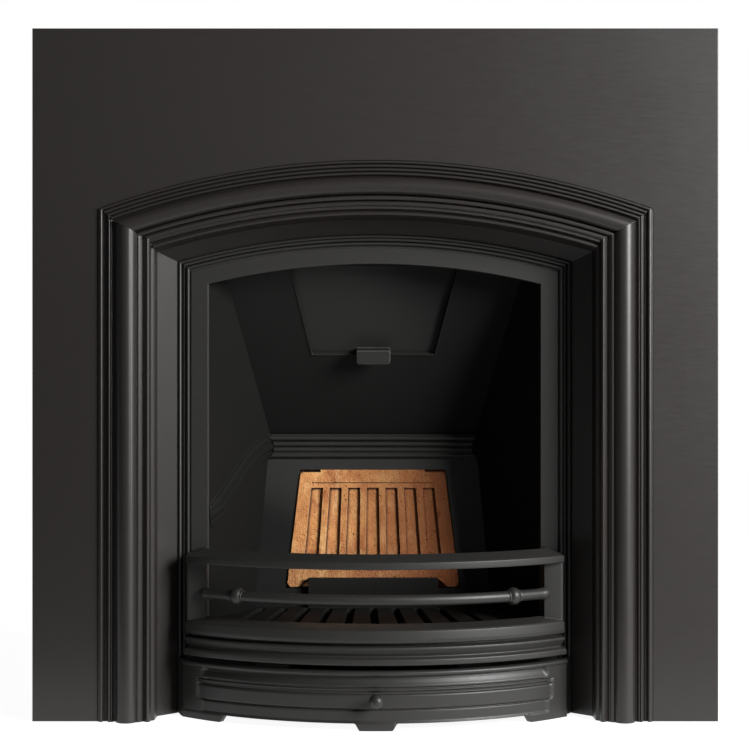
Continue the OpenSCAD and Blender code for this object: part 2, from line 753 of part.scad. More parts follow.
// ---- firebrick ----
module firebrick() {
    head_up = brick_foot_up + brick_h;
    flute_foot = brick_foot_up + 30;
    flute_head = head_up - 24;
    notch = grate_lip_w / 2 + 1;
    pitch_head = brick_top_w * 0.128;
    rear = brick_t - brick_proud;
    shoulder = wall_t + joint_gap;
    color(fireclay) at_face() on_back(0) {
        // flange that laps behind the fireback
        translate([0, rear, 0]) rotate([90, 0, 0]) linear_extrude(rear - shoulder)
            brick_outline(brick_gap + brick_lap, brick_head_gap + brick_lap, 0, 3);
        difference() {
            union() {
                translate([0, shoulder + 1, 0]) rotate([90, 0, 0]) linear_extrude(shoulder + 1 + brick_proud)
                    brick_outline(0, 0, 0, 3);
                // raised nib along the head
                translate([-brick_top_w * 0.36, -brick_proud, head_up - 1])
                    cube([brick_top_w * 0.72, shoulder + brick_proud + 1, brick_head_gap + 0.4]);
            }
            for (i = [0 : flute_n - 1]) flute(i - (flute_n - 1) / 2, pitch_head, flute_foot, flute_head);
            // line along the head, and the notch between the two feet
            translate([-brick_top_w * 0.42, -brick_proud - 1, head_up - 17]) cube([brick_top_w * 0.84, 2, 1.3]);
            translate([0, shoulder, 0]) rotate([90, 0, 0]) linear_extrude(shoulder + 10)
                polygon([[-notch - 16, brick_foot_up - 1], [notch + 16, brick_foot_up - 1],
                         [notch, brick_foot_up + 12], [-notch, brick_foot_up + 12]]);
            // the feet are rounded off at their outer corners
            for (s = [-1, 1]) translate([0, shoulder, 0]) rotate([90, 0, 0]) linear_extrude(shoulder + 10)
                polygon([[s * (brick_foot_w / 2 - 7), brick_foot_up - 1], [s * (brick_foot_w / 2 + 9), brick_foot_up - 1],
                         [s * (brick_foot_w / 2 + 9), brick_foot_up + 8], [s * (brick_foot_w / 2 - 1), brick_foot_up + 7],
                         [s * (brick_foot_w / 2 - 3), brick_foot_up + 2.5]]);
        }
    }
}

module flute(place, pitch, foot, head) {
    spread = 1.11;
    head_w = flute_w * 0.83;
    translate([0, flute_depth - brick_proud, 0]) rotate([90, 0, 0]) linear_extrude(flute_depth + 1)
        polygon([[place * pitch * spread - flute_w / 2, foot], [place * pitch * spread + flute_w / 2, foot],
                 [place * pitch + head_w / 2, head], [place * pitch - head_w / 2, head]]);
}

module brick_clips() {
    bar_h = 34;
    color(steel) at_face() for (x = [-clip_x, clip_x]) translate([x, 0, 0]) on_back(clip_up) difference() {
        union() {
            translate([-11, wall_t, -13]) cube([22, clip_t, 23]);
            translate([-11, wall_t, -13]) cube([22, brick_t - brick_proud - wall_t + clip_t + joint_gap, clip_t]);
            translate([-11, brick_t - brick_proud + joint_gap, -bar_h]) cube([22, clip_t, bar_h - 13 + clip_t]);
        }
        bolt_hole(wall_t + clip_t + 2);
    }
}

module clip_screws() {
    color(steel) at_face() for (x = [-clip_x, clip_x]) translate([x, 0, 0]) on_back(clip_up)
        screw_y(clip_t + blind_clip, wall_t + clip_t);
}

// ---- bowed pieces: a section swept round the bow and back along its straight ends, mitred between ----

// Region in plan in front of the mitres at the two ends of a bow
module bow_zone(r, half_w) {
    at = [for (i = [-4 : 10]) i * 3];
    mitre_points = [for (s = at) [half_w - s, bow_depth(half_w - s, r - s)]];
    n = len(mitre_points);
    translate([0, 0, -1]) linear_extrude(plate_h) polygon(concat(
        mitre_points, [for (i = [n - 1 : -1 : 0]) [-mitre_points[i][0], mitre_points[i][1]]],
        [[-mitre_points[0][0], -bow_r], [mitre_points[0][0], -bow_r]]));
}

// children() is a section: x stands out from the bow's line and y is height
module bowed(r, half_w, end_depth) {
    reach = asin((half_w + 20) / (r + 20));
    intersection() {
        translate([0, bow_y, 0]) rotate([0, 0, -90 - reach])
            rotate_extrude(angle = 2 * reach, $fn = fine) translate([r, 0]) children();
        bow_zone(r, half_w);
    }
    both_sides() difference() {
        translate([half_w, end_depth, 0]) rotate([90, 0, 0]) linear_extrude(end_depth + bow_out)
            translate([-seam, seam]) children();
        bow_zone(r, half_w);
    }
}

bars_back = splay_back - 0.5 - strip_bead_r - joint_gap;   // just clear of the beads

module top_rail_section() {
    low = top_rail_z - top_rail_h;
    front = 10;
    polygon([[-rail_t, low], [-1.5, low], [0, low + 1.5], [0, low + front - 2], [-1.5, low + front],
             [-rail_t + 2, top_rail_z], [-rail_t, top_rail_z]]);
}

module low_rail_section() {
    foot = low_rail_foot;
    top = low_rail_z - 5;
    polygon([
        [-rail_t, foot + 0.5], [2.4, foot + 0.5], [3.2, foot + 1.3], [3.2, foot + 8], [2.4, foot + 9.2],
        [-5, foot + 11.5], [-4.6, foot + 14.5], [-3.4, foot + 18], [-1.6, foot + 21], [-1.6, foot + 26],
        [-4.2, foot + 27], [-4.2, foot + 29.5], [0, foot + 31], [0.6, foot + 36], [0, top - 2.5],
        [-2, top - 0.5], [-rail_t + 2, low_rail_z], [-rail_t, low_rail_z]]);
    translate([-1.2, foot + 23.4]) circle(2.2);
}

module front_bars() {
    post_low = low_rail_z - 6;
    post_high = top_rail_z - top_rail_h + 1;
    cavity_w = post_w - 2 * hanger_t;
    pad_w = splay_leg_x - strip_leg_w - joint_gap - (bars_half_w - post_w + 1);
    cavity_low = hanger_z - hanger_h - 50;
    color(iron) at_face() difference() {
        union() {
            bowed(bow_r, bars_half_w, bars_back) top_rail_section();
            bowed(bow_r, bars_half_w, bars_back) low_rail_section();
            // posts with a flat face and a rounded outer corner
            both_sides() translate([0, 0, post_low]) linear_extrude(post_high - post_low) polygon([
                [bars_half_w - post_w, bars_back - 0.4], [bars_half_w - post_w, post_front + 1],
                [bars_half_w - post_w + 1, post_front], [bars_half_w - 5, post_front],
                [bars_half_w - 2.2, post_front + 1.2], [bars_half_w - 0.5, post_front + 4],
                [bars_half_w - 0.5, bars_back - 0.4]]);
            // pads that bear on the inner frame
            both_sides() translate([bars_half_w - post_w + 1, bars_back - 5, post_low])
                cube([pad_w, flat_depth - joint_gap - bars_back + 5, post_high - post_low]);
        }
        // hollow in the back of each post, over the hanger
        for (s = [-1, 1]) translate([s * post_mid_x - cavity_w / 2, flat_depth - 21, cavity_low])
            cube([cavity_w, 40, hanger_z - cavity_low + 0.2]);
        for (s = [-1, 1]) translate([s * post_mid_x - cavity_w / 2, flat_depth - 21, hanger_z - 1])
            cube([cavity_w, nose_t + 1.3, nose_h + 1.5]);
        middle_bar_path(middle_bar_d / 2 + fit, middle_tip_x - tip_l + 1);
        middle_tips(fit);
    }
}

middle_r = bow_r - rail_t / 2;
post_front = bow_depth(bars_half_w, bow_r) + 1;
middle_tip_x = bars_half_w - post_w + 10.5;
tip_l = 12;

// Round rod bent to the bow, out to a given half width
module middle_bar_path(rod_r, half_w) {
    reach = asin(half_w / middle_r);
    translate([0, bow_y, middle_bar_z]) rotate([0, 0, -90 - reach])
        rotate_extrude(angle = 2 * reach, $fn = fine) translate([middle_r, 0]) circle(rod_r, $fn = 48);
}

// Bullet-shaped ends of the middle bar, grown by a clearance
module middle_tips(grow) {
    tip_angle = asin((middle_tip_x - tip_l) / middle_r);
    tip_r = middle_bar_d / 2 + 0.9 + grow;
    for (s = [-1, 1]) translate([0, bow_y, middle_bar_z]) rotate([0, 0, s * tip_angle])
        translate([0, -middle_r, 0]) rotate([0, s * 90, 0]) rotate_extrude($fn = 48)
            polygon([[0, -8], [tip_r - 1.5, -8], [tip_r, -3], [tip_r, 2], [tip_r * 0.93, 5.5], [tip_r * 0.75, 8.5],
                     [tip_r * 0.45, 10.8 + grow], [0, tip_l + grow]]);
}

module middle_bar() {
    bead_angle = asin(middle_bead_x / middle_r);
    bead_ring_r = 8;
    bead_out = 12.3;
    color(iron) at_face() {
        middle_bar_path(middle_bar_d / 2, middle_tip_x - tip_l);
        middle_tips(0);
        for (s = [-1, 1]) translate([0, bow_y, middle_bar_z]) rotate([0, 0, s * bead_angle])
            translate([0, -middle_r, 0]) rotate([0, 90, 0]) {
                rotate_extrude() intersection() {
                    translate([bead_out - bead_ring_r, 0]) circle(bead_ring_r);
                    translate([0, -bead_ring_r]) square([bead_out, 2 * bead_ring_r]);
                }
                cylinder(h = 20, r = middle_bar_d / 2 + 1.4, center = true, $fn = 48);
            }
    }
}

// ---- bottom grate ----
grate_front_r = bow_r - rail_t - 6;
grate_back = knee_depth - 4;
grate_lip_w = 196;
grate_lip_t = 7;

module grate_plan() {
    side = bars_half_w - post_w - 6;
    intersection() {
        translate([0, bow_y]) circle(grate_front_r, $fn = fine);
        translate([-side, -bow_out]) square([2 * side, bow_out + frame_back + 3]);
    }
    intersection() {
        between_cheeks(6);
        translate([-side, frame_back]) square([2 * side, grate_back - frame_back]);
    }
}

slot_fan = 1.95;     // angle between neighbouring slots
slot_end = 14;       // metal left behind the slots

module bottom_grate() {
    fan = slot_pitch / tan(slot_fan);
    front = bow_y - grate_front_r;
    fan_y = front + fan;
    run = grate_back - slot_end - front;     // from the front edge to the end of the slots
    color(iron) at_face() {
        difference() {
            translate([0, 0, grate_z - grate_t]) linear_extrude(grate_t) grate_plan();
            for (i = [-slot_side_n : slot_side_n]) {
                start = 7 + bow_depth(abs(i) * slot_pitch, grate_front_r) - front;
                short = (fan - run) * (1 - cos(i * slot_fan));
                translate([0, fan_y, 0]) rotate([0, 0, i * slot_fan]) grate_slot(start - fan, run - short - start);
            }
        }
        translate([-grate_lip_w / 2, grate_back - grate_lip_t, grate_z - 1])
            cube([grate_lip_w, grate_lip_t, grate_lip_h + 1]);
    }
}

module grate_slot(start, length) {
    half = slot_w / 2;
    tip = slot_w / 5;
    translate([0, start, grate_z - grate_t - 1]) linear_extrude(grate_t + 2)
        polygon([[-half, half], [-tip, 0], [tip, 0], [half, half], [half, length - half],
                 [tip, length], [-tip, length], [-half, length - half]]);
}

// ---- ash cover ----
cover_r = bow_r + cover_out - bow_out;
cover_end = splay_back - 0.5 - strip_bead_r - joint_gap;
panel_depth = 3;
knob_z = 43.4;

module cover_section() {
    top = cover_z;
    polygon([
        [-cover_t, cover_foot_z], [-0.8, cover_foot_z], [0, cover_foot_z + 0.8], [0, top - 7.5],
        [-1, top - 6.5], [-1, top - 2], [-4, top - 0.2], [-cover_t, top - 0.2]]);
    translate([-1.4, top - 3.6]) circle(3.6);
}

module foot_section() {
    polygon([[-cover_t + 0.5, 0], [1.5, 0], [2.5, 2], [1, 8], [0.8, cover_foot_z + 3],
             [-cover_t + 0.5, cover_foot_z + 3]]);
}

module ash_cover() {
    middle_foot_w = 52;
    end_foot_in = 60;
    color(iron) at_face() difference() {
        union() {
            difference() {
                bowed(cover_r, cover_half_w, cover_end) cover_section();
                // moulded face between the plain ends: upper hollow, sunk panel and lower band
                sunk(59, 74, 246, panel_depth, 7);
                sunk(32, 52, 255.5, panel_depth, 6);
                sunk(cover_foot_z - 5, 27.5, 248, 1.2, 0);
            }
            intersection() {
                bowed(cover_r, cover_half_w, cover_end) foot_section();
                union() {
                    translate([-middle_foot_w / 2, -cover_out - 10, 0]) cube([middle_foot_w, 60, 40]);
                    for (s = [-1, 1]) translate([s * (cover_half_w + 5 - end_foot_in / 2) - end_foot_in / 2 - 2.5, -cover_out, 0])
                        cube([end_foot_in + 5, cover_out + cover_end, 40]);
                }
            }
        }
        translate([0, 0, knob_z]) rotate([90, 0, 0]) cylinder(h = 200, r = 3 + fit, center = true, $fn = 32);
    }
}

// Hollow in the cover's face that follows the bow, with cut-off corners at its two ends
module sunk(low, high, half_w, depth, corner) {
    reach = asin((half_w - corner) / cover_r);
    half_h = (high - low) / 2;
    translate([0, bow_y, 0]) {
        rotate([0, 0, -90 - reach]) rotate_extrude(angle = 2 * reach, $fn = fine)
            translate([cover_r - depth, low]) square([20, high - low]);
        if (corner > 0) for (s = [-1, 1]) rotate([0, 0, s * reach])
            translate([0, -cover_r + depth, low + half_h]) rotate([90, 0, 0]) linear_extrude(20) polygon([
                [-s, -half_h], [0, -half_h], [s * corner * 0.5, -half_h + corner * 0.13],
                [s * corner * 0.87, -half_h + corner * 0.5], [s * corner, -half_h + corner],
                [s * corner, half_h - corner], [s * corner * 0.87, half_h - corner * 0.5],
                [s * corner * 0.5, half_h - corner * 0.13], [0, half_h], [-s, half_h]]);
    }
}

module cover_knob() {
    seat = -cover_out + panel_depth;
    ball_z = knob_stem + knob_d * 0.3 + panel_depth;
    color(iron) at_face() translate([0, seat, knob_z]) rotate([90, 0, 0]) {
        rotate_extrude() union() {
            square([7, 2.5]);
            square([4.5, ball_z]);
            intersection() {
                translate([0, ball_z]) circle(knob_d / 2);
                square([knob_d, 2 * knob_out]);
            }
        }
        translate([0, 0, -cover_t - 6]) cylinder(h = cover_t + 7, r = 3, $fn = 32);
    }
}

module knob_nut() {
    color(steel) at_face() translate([0, -cover_out + cover_t + 0.06, knob_z]) rotate([-90, 0, 0]) difference() {
        cylinder(h = 5, r = 5.8, $fn = 6);
        translate([0, 0, -1]) cylinder(h = 7, r = 3 + fit, $fn = 32);
    }
}

// ---- ash pan ----
pan_front = grate_back - 6 - pan_l;

module ash_pan() {
    color(steel) at_face() difference() {
        union() {
            translate([-pan_w / 2, pan_front, 0]) cube([pan_w, pan_l, pan_h]);
            translate([-pan_w / 2 - 5, pan_front - 3, pan_h - 3]) cube([pan_w + 10, pan_l + 6, 3]);
        }
        translate([-pan_w / 2 + pan_t, pan_front + pan_t, pan_t]) cube([pan_w - 2 * pan_t, pan_l - 2 * pan_t, pan_h]);
        handle_rivet_places() rivet_hole();
    }
}

handle_w = 100;
handle_z = 36;
strap_t = 3;

module handle_rivet_places() {
    for (s = [-1, 1]) translate([s * (handle_w / 2 + 8), pan_front, handle_z]) children();
}

module rivet_hole() {
    rotate([90, 0, 0]) cylinder(h = 20, r = 2 + fit, center = true, $fn = 24);
}

module pan_handle() {
    out = 20;
    color(steel) at_face() difference() {
        union() {
            for (s = [-1, 1]) {
                translate([s * (handle_w / 2 + 7) - 9, pan_front - strap_t, handle_z - 8]) cube([18, strap_t, 16]);
                translate([s * (handle_w / 2 - 0.5) - strap_t / 2, pan_front - out, handle_z - 8]) cube([strap_t, out, 16]);
            }
            translate([-handle_w / 2 - 1, pan_front - out, handle_z - 8]) cube([handle_w + 2, strap_t, 16]);
        }
        handle_rivet_places() rivet_hole();
    }
}

module pan_rivets() {
    color(steel) at_face() handle_rivet_places() rotate([90, 0, 0]) {
        translate([0, 0, -pan_t - 1.5]) cylinder(h = pan_t + strap_t + 3, r = 2, $fn = 24);
        translate([0, 0, strap_t]) cylinder(h = 1.8, r = 4, $fn = 24);
        translate([0, 0, -pan_t - 1.8]) cylinder(h = 1.8, r = 4, $fn = 24);
    }
}

// ---- wall lugs and fasteners ----
module wall_lugs() {
    seat = plate_t + lug_boss_t;
    color(steel) at_face() lug_places() difference() {
        union() {
            translate([-lug_w / 2, seat, -15]) cube([lug_w, lug_plate_t, 30]);
            translate([lug_w / 2 - lug_plate_t, seat, -15]) cube([lug_plate_t, lug_arm + lug_plate_t, 30]);
        }
        hole_y(lug_plate_t + 2, seat + lug_plate_t);
        translate([lug_w / 2 - lug_plate_t - 1, seat + lug_arm - 12, 0]) rotate([0, 90, 0])
            cylinder(h = lug_plate_t + 2, d = wall_hole_d, $fn = 48);
    }
}

module lug_screws() {
    color(steel) at_face() lug_places() screw_y(lug_boss_t + lug_plate_t, plate_t + lug_boss_t + lug_plate_t);
}

module frame_screws() {
    color(steel) at_face() for (p = frame_screw_at) translate([p[0], 0, p[1]])
        screw_y(frame_back - seat_depth + frame_screw_reach, frame_back);
}

module cheek_screws() {
    color(steel) at_face() for (p = cheek_screw_at) translate([p[0], 0, p[1]])
        screw_y(wall_t + blind_reach, frame_back + wall_t);
}

module lintel_screws() {
    color(steel) at_face() for (p = lintel_screw_at) translate([p[0], 0, p[1]])
        screw_y(wall_t + blind_reach, frame_back + wall_t);
}

module throat_bolts() {
    color(steel) at_face() both_sides() throat_bolt_places() bolt_through();
}

module throat_nuts() {
    color(steel) at_face() both_sides() throat_bolt_places() nut_behind();
}

module back_bolts() {
    color(steel) at_face() both_sides() back_bolt_places() bolt_through();
}

module back_nuts() {
    color(steel) at_face() both_sides() back_bolt_places() nut_behind();
}

module shelf_bolts() {
    color(steel) at_face() for (x = shelf_bolt_x) translate([x, shelf_depth + shelf_bolt_back, shelf_z + wall_t]) {
        cylinder(h = head_h, r = head_r, $fn = 6);
        translate([0, 0, -2 * wall_t - head_h - 3]) cylinder(h = 2 * wall_t + head_h + 3 + eps, d = bolt_d, $fn = 32);
    }
}

module shelf_nuts() {
    color(steel) at_face() for (x = shelf_bolt_x)
        translate([x, shelf_depth + shelf_bolt_back, shelf_z - wall_t - head_h]) difference() {
            cylinder(h = head_h, r = head_r, $fn = 6);
            translate([0, 0, -1]) cylinder(h = head_h + 2, r = bolt_d / 2 + fit, $fn = 32);
        }
}

surround();
inner_frame();
left_cheek();
right_cheek();
fireback();
throat_plate();
damper_flap();
damper_pin();
firebrick();
brick_clips();
clip_screws();
front_bars();
middle_bar();
bottom_grate();
ash_cover();
cover_knob();
knob_nut();
ash_pan();
pan_handle();
pan_rivets();
wall_lugs();
lug_screws();
frame_screws();
cheek_screws();
lintel_screws();
throat_bolts();
throat_nuts();
back_bolts();
back_nuts();
shelf_bolts();
shelf_nuts();
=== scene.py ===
import math
import bpy
import bmesh
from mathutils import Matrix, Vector


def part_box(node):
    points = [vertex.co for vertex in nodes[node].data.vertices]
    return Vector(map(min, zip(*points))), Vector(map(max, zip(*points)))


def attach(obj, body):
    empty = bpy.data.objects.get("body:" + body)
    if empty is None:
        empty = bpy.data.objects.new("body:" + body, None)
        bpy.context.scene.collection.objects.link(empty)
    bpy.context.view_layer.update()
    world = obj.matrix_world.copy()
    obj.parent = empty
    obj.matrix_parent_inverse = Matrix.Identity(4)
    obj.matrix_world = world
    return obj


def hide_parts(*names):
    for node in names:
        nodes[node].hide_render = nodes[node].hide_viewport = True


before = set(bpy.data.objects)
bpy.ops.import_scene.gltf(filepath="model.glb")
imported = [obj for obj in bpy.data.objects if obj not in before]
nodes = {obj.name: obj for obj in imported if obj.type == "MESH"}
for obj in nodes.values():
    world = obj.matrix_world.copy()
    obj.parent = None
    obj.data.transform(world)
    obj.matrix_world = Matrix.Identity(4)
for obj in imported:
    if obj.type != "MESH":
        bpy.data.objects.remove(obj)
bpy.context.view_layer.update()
scene = bpy.context.scene


# ---- camera ----
# A long lens square on to the plate, 2.5 m in front of it, level with its middle and a hand's width
# to the left, with the lens shifted back so that the fireplace fills the picture.
plate_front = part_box("wall_lugs")[0].y - 0.016
camera_data = bpy.data.cameras.new("camera")
sensor_mm, focal_px, picture_px = 36, 1777.5, 750
camera_data.sensor_width = sensor_mm
camera_data.lens = focal_px * sensor_mm / picture_px
camera_data.shift_x = 0.0395
camera_data.clip_end = 50
camera = bpy.data.objects.new("camera", camera_data)
camera.location = (-0.042, plate_front - 2.5, 0.4887)
camera.rotation_euler = (math.radians(90), 0, 0)
scene.collection.objects.link(camera)
scene.camera = camera
scene.view_settings.view_transform = "Standard"


# ---- floor ----
# White studio paper under and behind the fireplace. The camera sees it as plain white, and so do shiny
# pieces where it lies behind them; in front of them the room is dim. It keeps a faint shadow.
floor_mesh = bpy.data.meshes.new("studio_floor")
floor_edit = bmesh.new()
bmesh.ops.create_grid(floor_edit, x_segments=8, y_segments=8, size=6)
floor_edit.to_mesh(floor_mesh)
floor_edit.free()
floor = bpy.data.objects.new("studio_floor", floor_mesh)
floor.location = (0, 0, -0.0006)
scene.collection.objects.link(floor)
floor_paint = bpy.data.materials.new("studio_floor")
floor_paint.use_nodes = True
tree = floor_paint.node_tree
paper = tree.nodes["Principled BSDF"]
paper.inputs["Base Color"].default_value = (0.30, 0.30, 0.30, 1)
paper.inputs["Roughness"].default_value = 0.9
fibre = tree.nodes.new("ShaderNodeTexNoise")
fibre.inputs["Scale"].default_value = 900
fibre_bump = tree.nodes.new("ShaderNodeBump")
fibre_bump.inputs["Distance"].default_value = 0.00005
tree.links.new(fibre.outputs["Fac"], fibre_bump.inputs["Height"])
tree.links.new(fibre_bump.outputs[0], paper.inputs["Normal"])
glow = tree.nodes.new("ShaderNodeEmission")
glow.inputs["Color"].default_value = (1, 1, 1, 1)
glow.inputs["Strength"].default_value = 0.93
lit = tree.nodes.new("ShaderNodeAddShader")
seen = tree.nodes.new("ShaderNodeMixShader")


def shown_white(tree, coords, front, back):
    """1 for the camera, and for mirrored rays where the paper lies behind the fireplace."""
    path = tree.nodes.new("ShaderNodeLightPath")
    place = tree.nodes.new("ShaderNodeTexCoord")
    axes = tree.nodes.new("ShaderNodeSeparateXYZ")
    behind = tree.nodes.new("ShaderNodeMapRange")
    behind.inputs["From Min"].default_value = front
    behind.inputs["From Max"].default_value = back
    tree.links.new(place.outputs[coords], axes.inputs[0])
    tree.links.new(axes.outputs["Y"], behind.inputs["Value"])
    mirrored, back_only, shown = [tree.nodes.new("ShaderNodeMath") for _ in range(3)]
    mirrored.operation, back_only.operation, shown.operation = "MAXIMUM", "MULTIPLY", "MAXIMUM"
    tree.links.new(path.outputs["Is Glossy Ray"], mirrored.inputs[0])
    tree.links.new(path.outputs["Is Transmission Ray"], mirrored.inputs[1])
    tree.links.new(mirrored.outputs[0], back_only.inputs[0])
    tree.links.new(behind.outputs[0], back_only.inputs[1])
    tree.links.new(path.outputs["Is Camera Ray"], shown.inputs[0])
    tree.links.new(back_only.outputs[0], shown.inputs[1])
    return shown.outputs[0]


tree.links.new(shown_white(tree, "Object", -0.5, -0.3), seen.inputs["Fac"])
tree.links.new(paper.outputs[0], seen.inputs[1])
tree.links.new(paper.outputs[0], lit.inputs[0])
tree.links.new(glow.outputs[0], lit.inputs[1])
tree.links.new(lit.outputs[0], seen.inputs[2])
tree.links.new(seen.outputs[0], tree.nodes["Material Output"].inputs["Surface"])
floor_mesh.materials.append(floor_paint)


# ---- studio light ----
# A window-like soft light stands far to the right, a little above the mantel line, with a breath of
# fill. The white backdrop shows to the camera and in what mirrors it; the room in front is dim.
def soft_light(name, place, aim, width, height, watts):
    data = bpy.data.lights.new(name, "AREA")
    data.shape = "RECTANGLE"
    data.size, data.size_y = width, height
    data.energy = watts
    lamp = bpy.data.objects.new(name, data)
    lamp.location = place
    lamp.rotation_euler = (Vector(aim) - Vector(place)).to_track_quat("-Z", "Y").to_euler()
    scene.collection.objects.link(lamp)
    return lamp


soft_light("window_right", (2.24, -1.86, 1.40), (0.05, 0.0, 0.42), 1.2, 1.2, 146)
soft_light("fill_front", (-0.6, -3.2, 1.5), (0.0, 0.0, 0.5), 2.0, 1.2, 1.5)

world = bpy.data.worlds.new("studio")
scene.world = world
world.use_nodes = True
tree = world.node_tree
tree.nodes.clear()
sky_out = tree.nodes.new("ShaderNodeOutputWorld")
sky_mix = tree.nodes.new("ShaderNodeMixShader")
dim = tree.nodes.new("ShaderNodeBackground")
dim.inputs["Color"].default_value = (1, 1, 1, 1)
dim.inputs["Strength"].default_value = 0.05
white = tree.nodes.new("ShaderNodeBackground")
white.inputs["Color"].default_value = (1, 1, 1, 1)
white.inputs["Strength"].default_value = 1.0
tree.links.new(shown_white(tree, "Generated", 0.0, 0.25), sky_mix.inputs["Fac"])
tree.links.new(dim.outputs[0], sky_mix.inputs[1])
tree.links.new(white.outputs[0], sky_mix.inputs[2])
tree.links.new(sky_mix.outputs[0], sky_out.inputs["Surface"])


# ---- front plate and moulded arch ----
# One flat casting: an 8 mm plate with the arch's moulding standing out of it, four fine reeds, a large
# round, two beads, and behind them the plain return and splay that run back to the inner frame. The
# moulding has straight legs and a mitre where each meets the arch.

# Every casting here is grey iron from a sand mould, rubbed with black grate polish. The group makes the
# grain of the sand, the patches where the polish is thick or thin, brush strokes, small scars, and the
# arrises that are rubbed bright. Each material sets its own tones, how rough it is, and the tone of its
# arrises: rubbed wear, and on the throat plate and the flap also a painted highlight along their rims.
sand_cast = bpy.data.node_groups.new("sand_cast_iron", "ShaderNodeTree")
for label, kind in (("Dark", "NodeSocketColor"), ("Light", "NodeSocketColor"),
                    ("Wear And Highlight", "NodeSocketColor"), ("Gloss", "NodeSocketFloat"),
                    ("Edge Width", "NodeSocketFloat")):
    sand_cast.interface.new_socket(label, in_out="INPUT", socket_type=kind)
for label, kind in (("Base Color", "NodeSocketColor"), ("Roughness", "NodeSocketFloat"),
                    ("Height", "NodeSocketFloat"), ("Edge", "NodeSocketFloat"),
                    ("Normal", "NodeSocketVector")):
    sand_cast.interface.new_socket(label, in_out="OUTPUT", socket_type=kind)
g = sand_cast.nodes
gl = sand_cast.links
group_in = g.new("NodeGroupInput")
group_out = g.new("NodeGroupOutput")
place = g.new("ShaderNodeTexCoord")


def noise(scale, detail=3.0, rough=0.5, stretch=None):
    node = g.new("ShaderNodeTexNoise")
    node.inputs["Scale"].default_value = scale
    node.inputs["Detail"].default_value = detail
    node.inputs["Roughness"].default_value = rough
    if stretch:
        mapping = g.new("ShaderNodeMapping")
        mapping.inputs["Scale"].default_value = stretch
        gl.new(place.outputs["Object"], mapping.inputs["Vector"])
        gl.new(mapping.outputs[0], node.inputs["Vector"])
    else:
        gl.new(place.outputs["Object"], node.inputs["Vector"])
    return node.outputs["Fac"]


def spread(source, low, high, to_low=0.0, to_high=1.0):
    node = g.new("ShaderNodeMapRange")
    node.inputs["From Min"].default_value = low
    node.inputs["From Max"].default_value = high
    node.inputs["To Min"].default_value = to_low
    node.inputs["To Max"].default_value = to_high
    gl.new(source, node.inputs["Value"])
    return node.outputs[0]


def blend(op, a, b):
    node = g.new("ShaderNodeMath")
    node.operation = op
    for i, part in enumerate((a, b)):
        if isinstance(part, (int, float)):
            node.inputs[i].default_value = part
        else:
            gl.new(part, node.inputs[i])
    return node.outputs[0]


def tint(mask, a, b):
    node = g.new("ShaderNodeMix")
    node.data_type = "RGBA"
    gl.new(mask, node.inputs["Factor"])
    for socket, part in (("A", a), ("B", b)):
        if isinstance(part, tuple):
            node.inputs[socket].default_value = part
        else:
            gl.new(part, node.inputs[socket])
    return node.outputs["Result"]


def rubbed_arris(radius, flat_at, sharp_at):
    """The normal with its arrises rounded, and a mask of those arrises."""
    rounded_off = g.new("ShaderNodeBevel")
    rounded_off.samples = 6
    if isinstance(radius, float):
        rounded_off.inputs["Radius"].default_value = radius
    else:
        gl.new(radius, rounded_off.inputs["Radius"])
    flat = g.new("ShaderNodeNewGeometry")
    facing = g.new("ShaderNodeVectorMath")
    facing.operation = "DOT_PRODUCT"
    gl.new(rounded_off.outputs[0], facing.inputs[0])
    gl.new(flat.outputs["Normal"], facing.inputs[1])
    return rounded_off.outputs[0], spread(facing.outputs["Value"], flat_at, sharp_at)


grain = noise(1500, 2, 0.6)
sand = noise(480, 3, 0.6)
swell = noise(16, 2, 0.5)
rubbed = noise(4.5, 5, 0.6, (1, 1, 0.7))
strokes = noise(420, 2, 0.5, (0.08, 1, 1))
scars = spread(noise(95, 4, 0.75), 0.66, 0.74)
thin_polish = blend("MULTIPLY", spread(rubbed, 0.3, 0.7), 0.45)
sand_tone = blend("MULTIPLY", spread(sand, 0.3, 0.7), 0.35)
stroke_tone = blend("MULTIPLY", spread(strokes, 0.3, 0.7), 0.20)
tone = blend("ADD", thin_polish, blend("ADD", sand_tone, stroke_tone))
soft_normal, edge = rubbed_arris(group_in.outputs["Edge Width"], 0.992, 0.90)
patchy = blend("ADD", rubbed, blend("MULTIPLY", sand, 0.35))
edge = blend("MULTIPLY", edge, spread(patchy, 0.52, 0.78, 0.25, 1.0))
body = tint(tone, group_in.outputs["Dark"], group_in.outputs["Light"])
gl.new(tint(edge, body, group_in.outputs["Wear And Highlight"]), group_out.inputs["Base Color"])
gloss = blend("ADD", spread(rubbed, 0.3, 0.7, 0.03, -0.03), spread(strokes, 0.3, 0.7, -0.02, 0.02))
gloss = blend("ADD", gloss, spread(grain, 0.3, 0.7, -0.04, 0.04))
gloss = blend("ADD", gloss, blend("MULTIPLY", edge, -0.07))
gl.new(blend("ADD", gloss, group_in.outputs["Gloss"]), group_out.inputs["Roughness"])
height = blend("ADD", blend("MULTIPLY", grain, 0.2), blend("MULTIPLY", sand, 0.45))
height = blend("ADD", height, blend("MULTIPLY", swell, 1.3))
gl.new(blend("SUBTRACT", height, blend("MULTIPLY", scars, 0.35)), group_out.inputs["Height"])
gl.new(edge, group_out.inputs["Edge"])
gl.new(soft_normal, group_out.inputs["Normal"])


